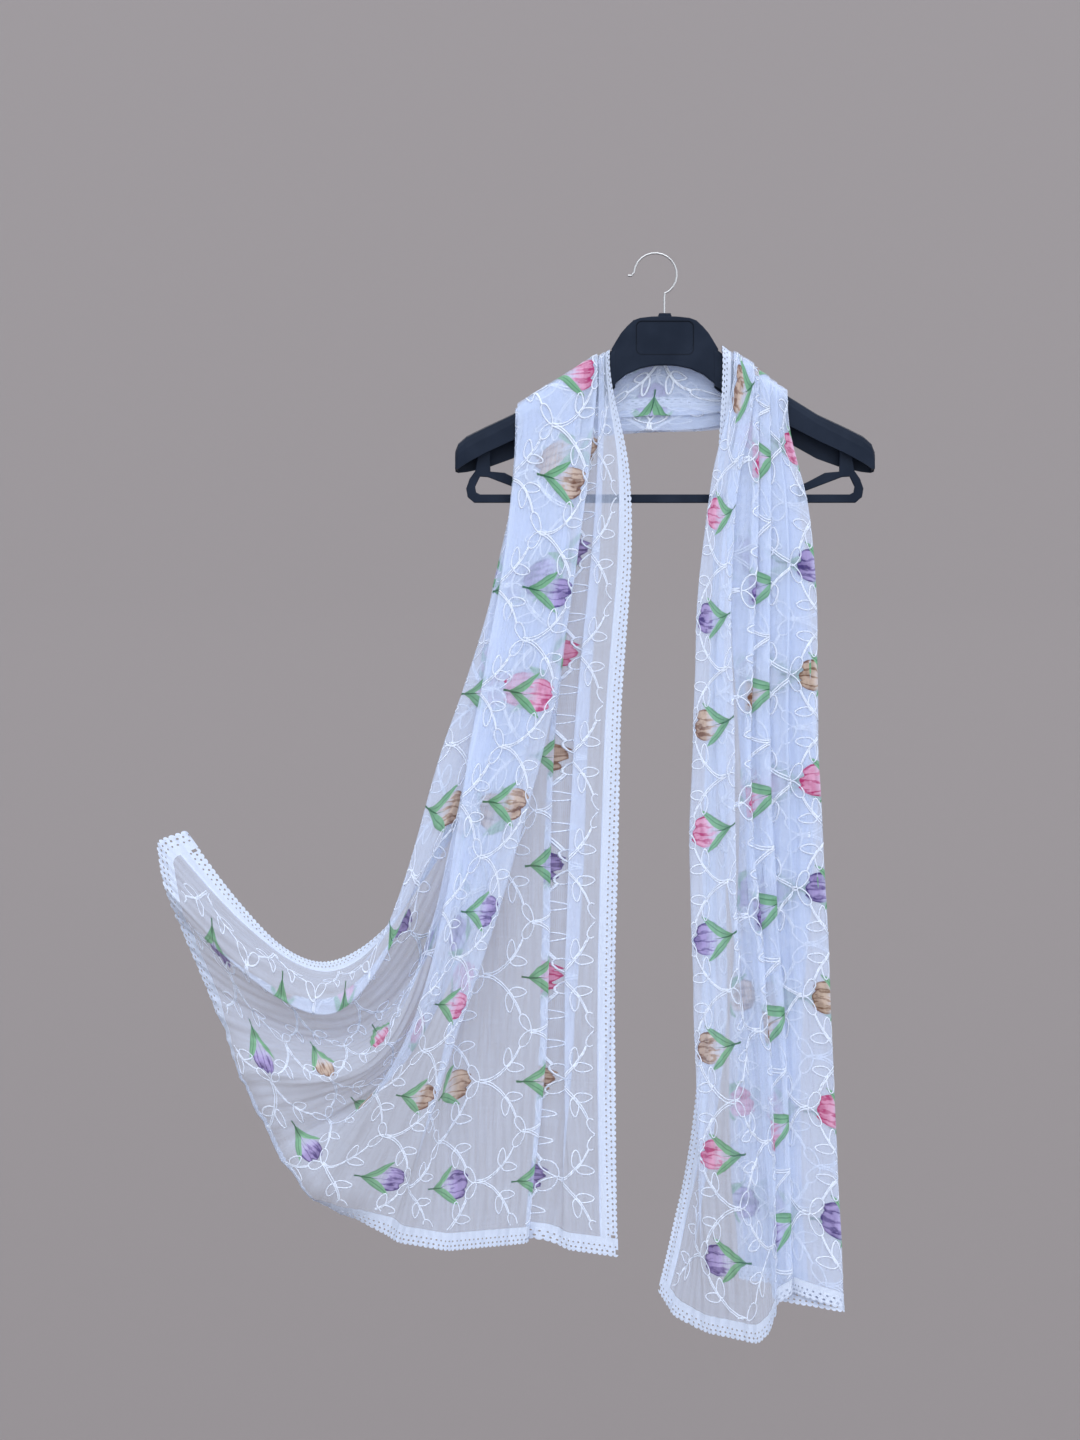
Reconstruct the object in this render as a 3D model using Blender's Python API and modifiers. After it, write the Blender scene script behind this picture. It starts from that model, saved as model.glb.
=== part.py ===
"""A sheer stole with a lace edging, wound round the neck of a moulded clothes hanger.

Metres, +Z up, +X to the right, -Y to the viewer. The origin is the inside top of the hook, where a
rail carries the hanger. The stole is one rectangle of cloth. A point on it is named by two flat
lengths: across, from the inner long edge, and along, from the hem of the left stretch.
"""
import math
from collections import namedtuple

import bmesh
import bpy
import numpy as np

MM = 0.001

# ---- driving dimensions, in millimetres -------------------------------------------------------
CLOTH_WIDTH = 800.0
CLOTH_LENGTH = 2150.0
LACE_WIDTH = 20.0
WALL = 1.0
SEAM_GAP = 1.6
LEFT_DROP = 955.0       # along the cloth, from the left hem to the top of the left arm
RIGHT_DROP = 1024.0     # along the cloth, from the right hem to the top of the right arm
LAYER = 1.3             # one layer of the stack of cloth on an arm
CLEAR = 1.4             # from the hanger to the middle of the nearest layer
FOLD_GAP = 1.4          # between the middles of two layers where they meet in a fold
FOLD_TURN = 1.5         # half the cloth that turns the fold
FOLD_ROUND = 4.5        # how far each side of a fold line the cloth is rounded, high up
HEM_ROUND = 9.0         # and at the hem, where the folds open
CURL_LENGTH = 48.0      # along the cloth, where an edge curls to the back

HANGER_MIDDLE = 10.0    # X of the hanger's middle
HOOK_RADIUS = 22.6      # middle of the wire
WIRE = 2.4
HEAD_THICK = 9.0
BAR_THICK = 6.0

# ---- the cloth's folds --------------------------------------------------------------------------
# One row for each fold line, which runs along the whole stretch. All lengths in millimetres:
# across: where the line lies on the flat cloth; top_x, layer: its place on the arm, and its number
# in the stack there; bar_x: its place beside the trouser bar, where the cloth spreads again; mid_x,
# mid_y: its place half way down; low_x, low_z, low_y: its place above the hem, where the swags hang
# lowest; hem_x, hem_z, hem_y: its lower end; curl: how far the edge curls round to the back there.
Fold = namedtuple(
    "Fold",
    "across top_x layer bar_x mid_x mid_y low_x low_z low_y hem_x hem_z hem_y curl",
    defaults=(0.0,),
)

LEFT_FOLDS = (
    Fold(0, -48, 2.2, -28, -36, -7, -42, -836, -10, -39, -1052, -12),
    Fold(60, -60, 3.5, -62, -86, -16, -98, -836, -20, -93, -1043, -22),
    Fold(78, -53, 1.5, -54, -68, -9, -83, -836, -10, -109, -1035, -14),
    Fold(100, -64, 0.8, -76, -112, -5, -127, -836, -8, -142, -1031, -10),
    Fold(112, -60, 2.2, -70, -103, -14, -112, -838, -18, -130, -1035, -24),
    Fold(235, -122, 0, -150, -194, -4, -218, -838, -2, -218, -1046, -8),
    Fold(296, -68, 3.4, -82, -120, -16, -222, -832, -28, -270, -1035, -26),
    Fold(318, -60, 9.0, -69, -113, -38, -206, -819, -44, -280, -1027, -32),
    Fold(416, -146, 10.0, -154, -192, -42, -260, -815, -62, -378, -1014, -30, 0.85),
    Fold(480, -82, 7.8, -86, -128, -33, -268, -855, -16, -416, -944, -10, 1.0),
    Fold(553, -140, 6.7, -152, -190, -30, -300, -844, -46, -450, -853, -14, 0.9),
    Fold(628, -76, 5.6, -82, -130, -23, -320, -819, 4, -472, -767, -10),
    Fold(690, -120, 4.6, -134, -182, -25.5, -344, -777, -36, -503, -692, -22),
    Fold(715, -133, 4.4, -145, -202, -25, -346, -798, -46, -511, -668, -40),
    Fold(735, -148, 3.7, -154, -218, -23, -342, -764, -41, -516, -648, -40),
    Fold(770, -117, 2.6, -126, -184, -19.5, -350, -756, -32, -521, -614, -34),
    Fold(800, -89, 3.8, -98, -154, -16.5, -354, -741, -19, -491, -604, -22),
)
RIGHT_FOLDS = (
    Fold(0, 70, 12.0, 64, 52, -8, 40, -897, 6, 3, -1088, -6),
    Fold(40, 88, 12.6, 76, 74, -20, 66, -899, -20, 18, -1113, -14),
    Fold(82, 82, 15.4, 57, 36, -34, 41, -904, -42, 52, -1129, -26),
    Fold(150, 104, 16.6, 86, 82, -48, 92, -904, -56, 106, -1140, -34),
    Fold(172, 91, 13.6, 74, 62, -36, 103, -901, -42, 118, -1130, -31),
    Fold(212, 109, 12.7, 109, 101, -40, 124, -899, -38, 127, -1106, -27),
    Fold(222, 100, 11.7, 99, 91, -32, 116, -896, -32, 123, -1102, -24),
    Fold(250, 121, 10.8, 122, 121, -34, 140, -888, -30, 147, -1086, -23),
    Fold(266, 107, 9.8, 108, 104, -22, 131, -886, -21, 134, -1086, -15),
    Fold(300, 129, 8.9, 139, 141, -28, 150, -886, -18, 150, -1091, -11),
    Fold(306, 124, 8.0, 133, 135, -20, 154, -887, -17, 155, -1094, -10.5),
    Fold(348, 139, 7.0, 161, 173, -20, 191, -894, -14, 203, -1110, -8),
    Fold(428, 84, 5.9, 74, 88, -15, 110, -888, -9, 121, -1096, -3),
    Fold(508, 134, 4.8, 152, 170, -12, 154, -888, -5, 164, -1088, 4),
    Fold(588, 85, 3.7, 74, 88, -8, 75, -880, -1, 86, -1076, 9),
    Fold(668, 132, 2.6, 150, 168, -5, 150, -880, 3, 154, -1068, 14),
    Fold(736, 88, 1.5, 78, 96, -2, 84, -878, 7, 92, -1066, 18),
    Fold(800, 122, 0.4, 140, 160, 1, 146, -878, 11, 152, -1067, 22),
)
BAR_SHARE, MID_SHARE, LOW_SHARE = 0.12, 0.42, 0.77  # how far down a stretch those figures hold
LEFT_MID_Z, RIGHT_MID_Z = -500.0, -538.0
CURL_TURN = math.radians(125)   # and how far round it goes where curl is one
ARM_STATIONS = (0.0, 5.0, 10.0, 15.0, 20.0, 25.0, 31.0, 38.0, 46.0, 70.0)
NECK_STATIONS = (0.0, 0.03, 0.06, 0.1, 0.15, 0.22, 0.34, 0.5)
NECK_GAP = 2.0          # between their ends there and the bunch behind the head
BACK = 14.0             # how far the stretches reach past the top of the arms, down their backs

# The bunch behind the head, folded to and fro. left_x, left_layer and right_x, right_layer are its
# places on the arms; mid_z, mid_y its place at the hanger's middle.
Bunch = namedtuple("Bunch", "across left_x left_layer mid_z mid_y right_x right_layer")
NECK_FOLDS = (
    Bunch(0, -98, 3.4, -148, 14.9, 107, 3.4),
    Bunch(66, -128, 2.4, -185, 13.2, 128, 2.4),
    Bunch(100, -108, 1.8, -158, 12.3, 112, 1.8),
    Bunch(118, -118, 0.3, -170, 9.8, 120, 0.3),
    Bunch(178, -62, 3.0, -112, 14.2, 82, 3.0),
    Bunch(262, -138, 7.0, -178, 20.9, 134, 7.0),
    Bunch(350, -64, 8.2, -110, 22.9, 86, 8.2),
    Bunch(440, -144, 9.4, -186, 24.9, 138, 9.4),
    Bunch(530, -66, 10.6, -106, 26.9, 88, 10.6),
    Bunch(620, -146, 11.8, -183, 28.9, 138, 11.8),
    Bunch(710, -68, 13.0, -106, 30.9, 90, 13.0),
    Bunch(800, -138, 14.2, -180, 32.9, 134, 14.2),
)

# ---- the hanger's arms --------------------------------------------------------------------------
# One row for each section, by its distance from the hanger's middle.
Arm = namedtuple("Arm", "out top front_low back_low half_depth")
ARMS = (
    Arm(52, -98, -138, -140, 5.0),
    Arm(64, -107, -145, -149, 6.2),
    Arm(98, -129, -163, -174, 8.0),
    Arm(131, -150, -181, -198, 9.5),
    Arm(160, -168, -196, -214, 11.0),
    Arm(188, -181, -209, -224, 12.5),
    Arm(208, -191, -220, -228, 13.0),
    Arm(217, -199, -226, -229, 12.0),
    Arm(220, -207, -226, -228, 9.5),
)


def column(rows, name):
    return np.array([getattr(row, name) for row in rows], float)


def arm_top(x):
    """Height of the arm's top line at x."""
    return np.interp(np.abs(x - HANGER_MIDDLE), column(ARMS, "out"), column(ARMS, "top"))


def arm_half(x):
    """Half the arm's depth, front to back, at x."""
    return np.interp(np.abs(x - HANGER_MIDDLE), column(ARMS, "out"), column(ARMS, "half_depth"))


# ---- how a fold line hangs ------------------------------------------------------------------------
def smooth_path(stations, shares, at, first_slope):
    """A cubic curve through the stations, each held at its share, read at the shares in at."""
    stations = np.array(stations, float)
    shares = np.array(shares, float)
    steps = np.diff(stations, axis=0) / np.diff(shares)[:, None]
    slopes = np.empty_like(stations)
    slopes[0] = first_slope
    slopes[-1] = steps[-1]
    for k in range(1, len(stations) - 1):
        before, after = shares[k] - shares[k - 1], shares[k + 1] - shares[k]
        slopes[k] = (steps[k - 1] * after + steps[k] * before) / (before + after)
    slopes[-1] = 1.5 * steps[-1] - 0.5 * slopes[-2]
    piece = np.clip(np.searchsorted(shares, at, side="right") - 1, 0, len(shares) - 2)
    width = shares[piece + 1] - shares[piece]
    u = ((at - shares[piece]) / width)[:, None]
    width = width[:, None]
    return (
        (2 * u ** 3 - 3 * u ** 2 + 1) * stations[piece]
        + (u ** 3 - 2 * u ** 2 + u) * width * slopes[piece]
        + (3 * u ** 2 - 2 * u ** 3) * stations[piece + 1]
        + (u ** 3 - u ** 2) * width * slopes[piece + 1]
    )


def smooth_step(value):
    value = np.clip(value, 0.0, 1.0)
    return value * value * (3 - 2 * value)


def round_arm(x, radius, middle_z, turn):
    """Points over an arm's top, from the front at minus a quarter turn to the back."""
    height = middle_z + radius * np.cos(turn)
    return np.stack([np.full_like(turn, x), radius * np.sin(turn), height], axis=-1)


def hanging(fold, drop, mid_z, down):
    """One fold line of a stretch, at the distances down from the top of the arm."""
    half = float(arm_half(fold.top_x))
    radius = half + CLEAR + fold.layer * LAYER
    middle_z = float(arm_top(fold.top_x)) - half
    bend = math.pi / 2 * radius
    turn = np.clip(down / radius, -math.pi / 2, math.pi / 2)
    over = round_arm(fold.top_x, radius, middle_z, -turn)
    share = np.clip((down - bend) / (drop - bend), 0.0, 1.0)
    at_bar = BAR_SHARE / MID_SHARE
    stations = (
        (fold.top_x, -radius, middle_z),
        (fold.bar_x, (fold.mid_y + radius) * at_bar - radius, (mid_z - middle_z) * at_bar + middle_z),
        (fold.mid_x, fold.mid_y, mid_z),
        (fold.low_x, fold.low_y, fold.low_z),
        (fold.hem_x, fold.hem_y, fold.hem_z),
    )
    shares = (0.0, BAR_SHARE, MID_SHARE, LOW_SHARE, 1.0)
    curl_share = CURL_LENGTH / (drop - bend) if fold.curl else 0.0
    path = smooth_path(stations, shares, np.minimum(share, 1.0 - curl_share), (0.0, 0.0, bend - drop))
    if fold.curl:
        curled = np.clip((share - 1.0) / curl_share + 1.0, 0.0, 1.0) * fold.curl * CURL_TURN
        onward = np.array([fold.hem_x - fold.low_x, 0.0, fold.hem_z - fold.low_z])
        onward *= CURL_LENGTH / (fold.curl * CURL_TURN) / np.linalg.norm(onward)
        sideways = np.array([0.0, np.linalg.norm(onward), 0.0])
        path += np.sin(curled)[:, None] * onward + (1 - np.cos(curled))[:, None] * sideways
    return np.where((down < bend)[:, None], over, path)


def behind(row, share):
    """One fold line of the bunch behind the head, from the left arm's back to the right arm's."""
    middle = np.array([HANGER_MIDDLE, row.mid_y, row.mid_z])
    halves = []
    for arm_x, layer, side in ((row.left_x, row.left_layer, 1.0), (row.right_x, row.right_layer, -1.0)):
        half = float(arm_half(arm_x))
        radius = half + CLEAR + layer * LAYER
        middle_z = float(arm_top(arm_x)) - half
        turn = np.linspace((BACK + NECK_GAP) / radius, math.pi / 2, 5)
        over = round_arm(arm_x, radius, middle_z, turn)
        gap = np.linalg.norm(middle - over[-1])
        lead_in = np.array([side * 0.55, 0, -0.6]) * gap
        lead_out = np.array([side, 0, 0]) * gap * 1.1
        step = np.linspace(0, 1, 15)[1:, None]
        curve = (
            (2 * step ** 3 - 3 * step ** 2 + 1) * over[-1]
            + (step ** 3 - 2 * step ** 2 + step) * lead_in
            + (3 * step ** 2 - 2 * step ** 3) * middle
            + (step ** 3 - step ** 2) * lead_out
        )
        halves.append(np.concatenate([over, curve]))
    path = np.concatenate([halves[0], halves[1][-2::-1]])
    length = np.concatenate([[0], np.cumsum(np.linalg.norm(np.diff(path, axis=0), axis=1))])
    return np.stack([np.interp(share * length[-1], length, path[:, k]) for k in range(3)], axis=-1)


def fold_lines(stretch, along):
    """Every fold line of a stretch: its place across the flat cloth, and in the room at each along."""
    if stretch == "left":
        rows = LEFT_FOLDS
        lines = [hanging(fold, LEFT_DROP, LEFT_MID_Z, LEFT_DROP - along) for fold in rows]
    elif stretch == "right":
        rows = RIGHT_FOLDS
        down = along - (CLOTH_LENGTH - RIGHT_DROP)
        lines = [hanging(fold, RIGHT_DROP, RIGHT_MID_Z, down) for fold in rows]
    else:
        rows = NECK_FOLDS
        first, last = LEFT_DROP + BACK, CLOTH_LENGTH - RIGHT_DROP - BACK
        lines = [behind(row, (along - first) / (last - first)) for row in rows]
    return opened(column(rows, "across"), np.stack(lines), along)


def openness(along):
    """How far the folds have opened: nothing half way up a hanging stretch, and one at its hem."""
    left = smooth_step((LEFT_DROP * 0.5 - along) / (LEFT_DROP * 0.5))
    right = smooth_step((along - CLOTH_LENGTH + RIGHT_DROP * 0.5) / (RIGHT_DROP * 0.5))
    return left + right


def opened(place, lines, along):
    """Each sharp fold line made two, a little apart, so that its layers lie side by side."""
    gap = (FOLD_GAP * (1 + openness(along)))[:, None]
    places, paths = [place[0]], [lines[0]]
    for k in range(1, len(place) - 1):
        comes = lines[k] - lines[k - 1]
        goes = lines[k + 1] - lines[k]
        comes /= np.linalg.norm(comes, axis=1)[:, None]
        goes /= np.linalg.norm(goes, axis=1)[:, None]
        turn = np.sum(comes * goes, axis=1)[:, None]
        apart = goes - turn * comes
        apart /= np.maximum(np.linalg.norm(apart, axis=1)[:, None], 0.01)
        shift = apart * gap / 2 * smooth_step((0.3 - turn) / 0.6)
        places += [place[k] - FOLD_TURN, place[k] + FOLD_TURN]
        paths += [lines[k] - shift, lines[k] + shift]
    return np.array([*places, place[-1]]), np.stack([*paths, lines[-1]])


def cloth_points(stretch, across, along):
    """The cloth's middle surface: a grid of points for the given flat lengths, folds rounded."""
    along = np.asarray(along, float)
    across = np.asarray(across, float)
    place, lines = fold_lines(stretch, along)
    reach = FOLD_ROUND + (HEM_ROUND - FOLD_ROUND) * openness(along)
    grid = np.zeros((len(across), len(along), 3))
    offsets = (-1.0, -0.5, 0.0, 0.5, 1.0)
    for j in range(len(along)):
        for offset in offsets:
            at = across + offset * reach[j]
            inside = np.clip(at, 0.0, CLOTH_WIDTH)
            mirror = 2 * inside - at
            for k in range(3):
                read = np.interp(inside, place, lines[:, j, k])
                back = np.interp(mirror, place, lines[:, j, k])
                grid[:, j, k] += (2 * read - back if offset else read) / len(offsets)
    return grid * MM


# ---- building ---------------------------------------------------------------------------------------
def clear_scene():
    for old in list(bpy.data.objects):
        bpy.data.objects.remove(old, do_unlink=True)


def new_collection(name):
    collection = bpy.data.collections.new(name)
    bpy.context.scene.collection.children.link(collection)
    return collection


def material(name, colour, roughness, metallic=0.0):
    made = bpy.data.materials.new(name)
    made.use_nodes = True
    shader = made.node_tree.nodes["Principled BSDF"]
    shader.inputs["Base Color"].default_value = (*colour, 1.0)
    shader.inputs["Roughness"].default_value = roughness
    shader.inputs["Metallic"].default_value = metallic
    return made


def add_object(name, data, collection, finish):
    made = bpy.data.objects.new(name, data)
    collection.objects.link(made)
    made.data.materials.append(finish)
    return made


def cloth_wall(name, stretch, across, along, collection, finish):
    """A wall of cloth over a grid of flat lengths, with Solidify for its thickness."""
    grid = cloth_points(stretch, across, along)
    mesh = bpy.data.meshes.new(name)
    shape = bmesh.new()
    points = [[shape.verts.new(point) for point in row] for row in grid]
    for i in range(len(across) - 1):
        for j in range(len(along) - 1):
            shape.faces.new((points[i][j], points[i + 1][j], points[i + 1][j + 1], points[i][j + 1]))
    shape.to_mesh(mesh)
    shape.free()
    mesh.shade_smooth()
    made = add_object(name, mesh, collection, finish)
    thick = made.modifiers.new("wall", "SOLIDIFY")
    thick.thickness = WALL * MM
    thick.offset = 0.0
    return made


def flat_stations(folds, first, last):
    """Flat lengths across: one each side of every fold line, and one in each wide panel."""
    lines = column(folds, "across")
    wanted = [first, last]
    for line in lines[1:-1]:
        wanted += [line - FOLD_ROUND, line + FOLD_ROUND]
    wanted += [(low + high) / 2 for low, high in zip(lines, lines[1:]) if high - low > 60]
    kept = [first]
    for value in sorted(wanted):
        if kept[-1] + 3.5 < value < last - 3.5:
            kept.append(value)
    return kept + [last]


def length_stations(first, last, count, arm_at):
    """Flat lengths along: close together over an arm, at the named ends, and even elsewhere."""
    if arm_at == "both":
        half = np.array(NECK_STATIONS)
        share = np.concatenate([half, 1 - half[-2::-1]])
        return list(first + (last - first) * share)
    even = np.linspace(ARM_STATIONS[-1], last - first, count)[1:]
    away = np.concatenate([ARM_STATIONS, even[:-1], [last - first - LACE_WIDTH, last - first]])
    return sorted(last - away) if arm_at == "last" else list(first + away)


def build_cloth(collection):
    chiffon = material("chiffon", (0.80, 0.84, 0.93), 0.75)
    lace = material("cotton_lace", (0.86, 0.88, 0.95), 0.8)
    left_end = LEFT_DROP + BACK
    right_end = CLOTH_LENGTH - RIGHT_DROP - BACK
    stretches = (
        ("left", LEFT_FOLDS, 0.0, left_end, 20, "last"),
        ("neck", NECK_FOLDS, left_end, right_end, 0, "both"),
        ("right", RIGHT_FOLDS, right_end, CLOTH_LENGTH, 12, "first"),
    )
    inner = LACE_WIDTH + SEAM_GAP
    for stretch, folds, first, last, count, ends in stretches:
        start = first + (inner if stretch == "left" else 0.0)
        stop = last - (inner if stretch == "right" else 0.0)
        along = length_stations(start, stop, count, ends)
        body = flat_stations(folds, inner, CLOTH_WIDTH - inner)
        cloth_wall("stole_" + stretch, stretch, body, along, collection, chiffon)
        edge = flat_stations(folds, 0.0, LACE_WIDTH)
        cloth_wall("lace_inner_" + stretch, stretch, edge, along, collection, lace)
        outer = flat_stations(folds, CLOTH_WIDTH - LACE_WIDTH, CLOTH_WIDTH)
        cloth_wall("lace_outer_" + stretch, stretch, outer, along, collection, lace)
        if stretch != "neck":
            hem = [0.0, LACE_WIDTH] if stretch == "left" else [CLOTH_LENGTH - LACE_WIDTH, CLOTH_LENGTH]
            whole = [0.0, (edge[-1] + body[0]) / 2, *body[1:-1], (body[-1] + outer[0]) / 2, CLOTH_WIDTH]
            cloth_wall("lace_hem_" + stretch, stretch, whole, hem, collection, lace)


def flat_plate(name, outlines, thick, bevel, collection, finish):
    """A plate in the XZ plane: the first outline is its edge, the others are holes."""
    curve = bpy.data.curves.new(name, "CURVE")
    curve.dimensions = "2D"
    curve.fill_mode = "BOTH"
    curve.extrude = (thick / 2 - bevel) * MM
    curve.bevel_depth = bevel * MM
    curve.bevel_resolution = 1
    curve.offset = -bevel * MM
    for outline in outlines:
        spline = curve.splines.new("POLY")
        spline.points.add(len(outline) - 1)
        spline.use_cyclic_u = True
        for point, (x, z) in zip(spline.points, outline):
            point.co = (x * MM, z * MM, 0, 1)
    made = add_object(name, curve, collection, finish)
    made.rotation_euler = (math.pi / 2, 0, 0)
    return made


def as_mesh(made, collection):
    """A curve object made a mesh in place, its caps welded."""
    bpy.context.view_layer.update()
    graph = bpy.context.evaluated_depsgraph_get()
    mesh = bpy.data.meshes.new_from_object(made.evaluated_get(graph))
    shape = bmesh.new()
    shape.from_mesh(mesh)
    bmesh.ops.remove_doubles(shape, verts=shape.verts, dist=0.00002)
    bmesh.ops.recalc_face_normals(shape, faces=shape.faces)
    shape.to_mesh(mesh)
    shape.free()
    name = made.name
    finish = made.data.materials[0]
    place = made.matrix_world.copy()
    bpy.data.objects.remove(made, do_unlink=True)
    solid = bpy.data.objects.new(name, mesh)
    collection.objects.link(solid)
    solid.matrix_world = place
    if not mesh.materials:
        mesh.materials.append(finish)
    return solid


def joined(target, other, kind="UNION"):
    """The other object cut from the target, or fused to it."""
    cut = target.modifiers.new(kind.lower(), "BOOLEAN")
    cut.operation = kind
    cut.solver = "EXACT"
    cut.object = other
    other.hide_render = True
    other.display_type = "WIRE"


def mirrored(points):
    """A half outline, from the middle outwards and back, made whole about the hanger's middle."""
    right = [(HANGER_MIDDLE + out, z) for out, z in points]
    left = [(HANGER_MIDDLE - out, z) for out, z in reversed(points) if out > 0]
    return right + left


def arm_solid(name, side, collection, finish):
    """One arm: a channel, open below, lofted through its sections, with a closed tip."""
    skin = 3.0
    crown = [math.radians(angle) for angle in (180, 150, 120, 90, 60, 30, 0)]
    shape = bmesh.new()
    rings = []
    for number, row in enumerate(ARMS):
        half = row.half_depth
        closed = number == 0 or number >= len(ARMS) - 2
        roof = min(row.front_low, row.back_low) + 1.0 if closed else row.top - half
        front_roof = row.front_low + 1.0 if closed else roof
        over = [(half * math.cos(angle), row.top - half + half * math.sin(angle)) for angle in crown]
        section = [
            (-half, row.front_low), *over, (half, row.back_low), (half - skin, row.back_low),
            (half - skin, roof), (-half + skin, front_roof), (-half + skin, row.front_low),
        ]
        x = HANGER_MIDDLE + side * row.out
        rings.append([shape.verts.new((x * MM, y * MM, z * MM)) for y, z in section])
    for one, two in zip(rings, rings[1:]):
        for k in range(len(one)):
            n = (k + 1) % len(one)
            shape.faces.new((one[k], one[n], two[n], two[k]))
    shape.faces.new(rings[0])
    shape.faces.new(rings[-1])
    bmesh.ops.triangulate(shape, faces=shape.faces)
    bmesh.ops.recalc_face_normals(shape, faces=shape.faces)
    mesh = bpy.data.meshes.new(name)
    shape.to_mesh(mesh)
    shape.free()
    return add_object(name, mesh, collection, finish)


def build_hanger(collection, cutters):
    plastic = material("moulded_plastic", (0.025, 0.034, 0.055), 0.42)
    steel = material("bright_steel", (0.72, 0.72, 0.74), 0.25, 1.0)

    head_half = [
        (0, -65.2), (14, -65.6), (26, -67), (33, -69.5), (40, -76), (46, -83), (51, -91), (56, -99.5),
        (56, -140), (50, -134), (40, -126), (26, -120), (13, -117.3), (0, -116.5),
    ]
    plate = flat_plate("hanger_body", [mirrored(head_half)], HEAD_THICK, 1.2, collection, plastic)
    head = as_mesh(plate, collection)
    nub = [(HANGER_MIDDLE + x, z) for x, z in ((-6, -62), (6, -62), (9, -70), (-9, -70))]
    boss = as_mesh(flat_plate("hook_boss", [nub], 7.0, 0.8, cutters, plastic), cutters)
    joined(head, boss)
    for side, name in ((-1, "arm_left"), (1, "arm_right")):
        joined(head, arm_solid(name, side, cutters, plastic))
    panel = [(0, -70.5), (26, -70.5), (30, -74), (30.5, -92), (28, -101), (20, -105), (0, -105.5)]
    recess = flat_plate("recess", [mirrored(panel)], 2.0, 0.4, cutters, plastic)
    recess.location.y = -HEAD_THICK / 2 * MM
    joined(head, as_mesh(recess, cutters), "DIFFERENCE")

    bar_half = [
        (0, -252.2), (122, -252.2), (150, -239), (168, -229.5), (183, -228.2), (184, -193.3),
        (195, -197.6), (199, -227.5), (205, -236), (208.5, -246), (207, -255), (200, -261), (0, -261.2),
    ]
    hole = [
        (186, -234), (194, -233.5), (199, -244), (198, -250), (194, -252.2), (146, -252.2), (144, -250),
    ]
    holes = [[(HANGER_MIDDLE + side * out, z) for out, z in hole] for side in (1, -1)]
    bar = flat_plate("hanger_bar", [mirrored(bar_half), *holes], BAR_THICK, 1.0, collection, plastic)
    as_mesh(bar, collection)

    wire = bpy.data.curves.new("hanger_hook", "CURVE")
    wire.dimensions = "3D"
    wire.bevel_depth = WIRE / 2 * MM
    wire.bevel_resolution = 2
    wire.use_fill_caps = True
    top_z = WIRE / 2
    route = [(HANGER_MIDDLE - 0.5, -61.7), (HANGER_MIDDLE - 0.5, -45.0), (HANGER_MIDDLE, -41.0)]
    for degrees in range(-50, 181, 15):
        angle = math.radians(degrees)
        height = top_z - HOOK_RADIUS + HOOK_RADIUS * math.sin(angle)
        route.append((HOOK_RADIUS * math.cos(angle), height))
    route += [(-25.0, -22.6), (-28.6, -22.4)]
    spline = wire.splines.new("POLY")
    spline.points.add(len(route) - 1)
    for point, (x, z) in zip(spline.points, route):
        point.co = (x * MM, 0, z * MM, 1)
    spline.points[-1].radius = 1.15
    add_object("hanger_hook", wire, collection, steel)


def main():
    clear_scene()
    parts = new_collection("dupatta_stole")
    cutters = new_collection("cutters")
    build_hanger(parts, cutters)
    build_cloth(parts)


main()
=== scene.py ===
# %% [markdown]
# # A sheer stole on a clothes hanger
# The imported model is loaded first, as a fixed frame: every piece made below sits where its solid is.
# The hanger keeps its solids and gets new finishes. The cloth's solids are thick walls, so thin sheets
# with the same folds replace them, and thread, print and lace go on those sheets.

# %% The frame
import math
from collections import namedtuple

import bpy
import numpy as np
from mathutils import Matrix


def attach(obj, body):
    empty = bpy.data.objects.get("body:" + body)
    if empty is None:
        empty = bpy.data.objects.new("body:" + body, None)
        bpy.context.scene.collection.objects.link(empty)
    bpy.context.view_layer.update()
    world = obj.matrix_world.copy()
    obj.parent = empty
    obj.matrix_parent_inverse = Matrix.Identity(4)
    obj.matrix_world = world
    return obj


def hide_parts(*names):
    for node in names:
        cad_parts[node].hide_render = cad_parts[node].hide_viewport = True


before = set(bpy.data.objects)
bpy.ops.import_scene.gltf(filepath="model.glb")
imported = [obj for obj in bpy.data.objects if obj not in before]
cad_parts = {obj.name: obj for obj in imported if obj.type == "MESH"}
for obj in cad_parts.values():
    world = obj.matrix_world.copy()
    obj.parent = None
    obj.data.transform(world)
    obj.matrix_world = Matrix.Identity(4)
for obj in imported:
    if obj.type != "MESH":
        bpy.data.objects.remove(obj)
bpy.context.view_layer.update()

# %% [markdown]
# ## Backdrop, light and camera
# The stole hangs against an even pale grey sweep. One curved sheet makes wall and floor, so that no
# line shows where they meet. The wall stands well back, so that a camera can also go behind the stole
# without the wall coming in between. Past the sheet's edges the same grey goes on. The light is broad
# and soft: a bright sky all round, and wide suns from the front that shade the folds a little.

# %% Backdrop
def clean_material(name, colour, roughness, metallic=0.0):
    """A material with one Principled shader, and a way to reach its tree."""
    made = bpy.data.materials.new(name)
    made.use_nodes = True
    shader = made.node_tree.nodes["Principled BSDF"]
    shader.inputs["Base Color"].default_value = (*colour, 1.0)
    shader.inputs["Roughness"].default_value = roughness
    shader.inputs["Metallic"].default_value = metallic
    return made


def new_mesh_object(name, points, faces, finish):
    """A mesh object from points in metres, smooth all over, with one finish."""
    mesh = bpy.data.meshes.new(name)
    mesh.from_pydata([tuple(point) for point in points], [], [tuple(face) for face in faces])
    mesh.materials.append(finish)
    mesh.shade_smooth()
    mesh.update()
    made = bpy.data.objects.new(name, mesh)
    bpy.context.scene.collection.objects.link(made)
    return made


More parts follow.
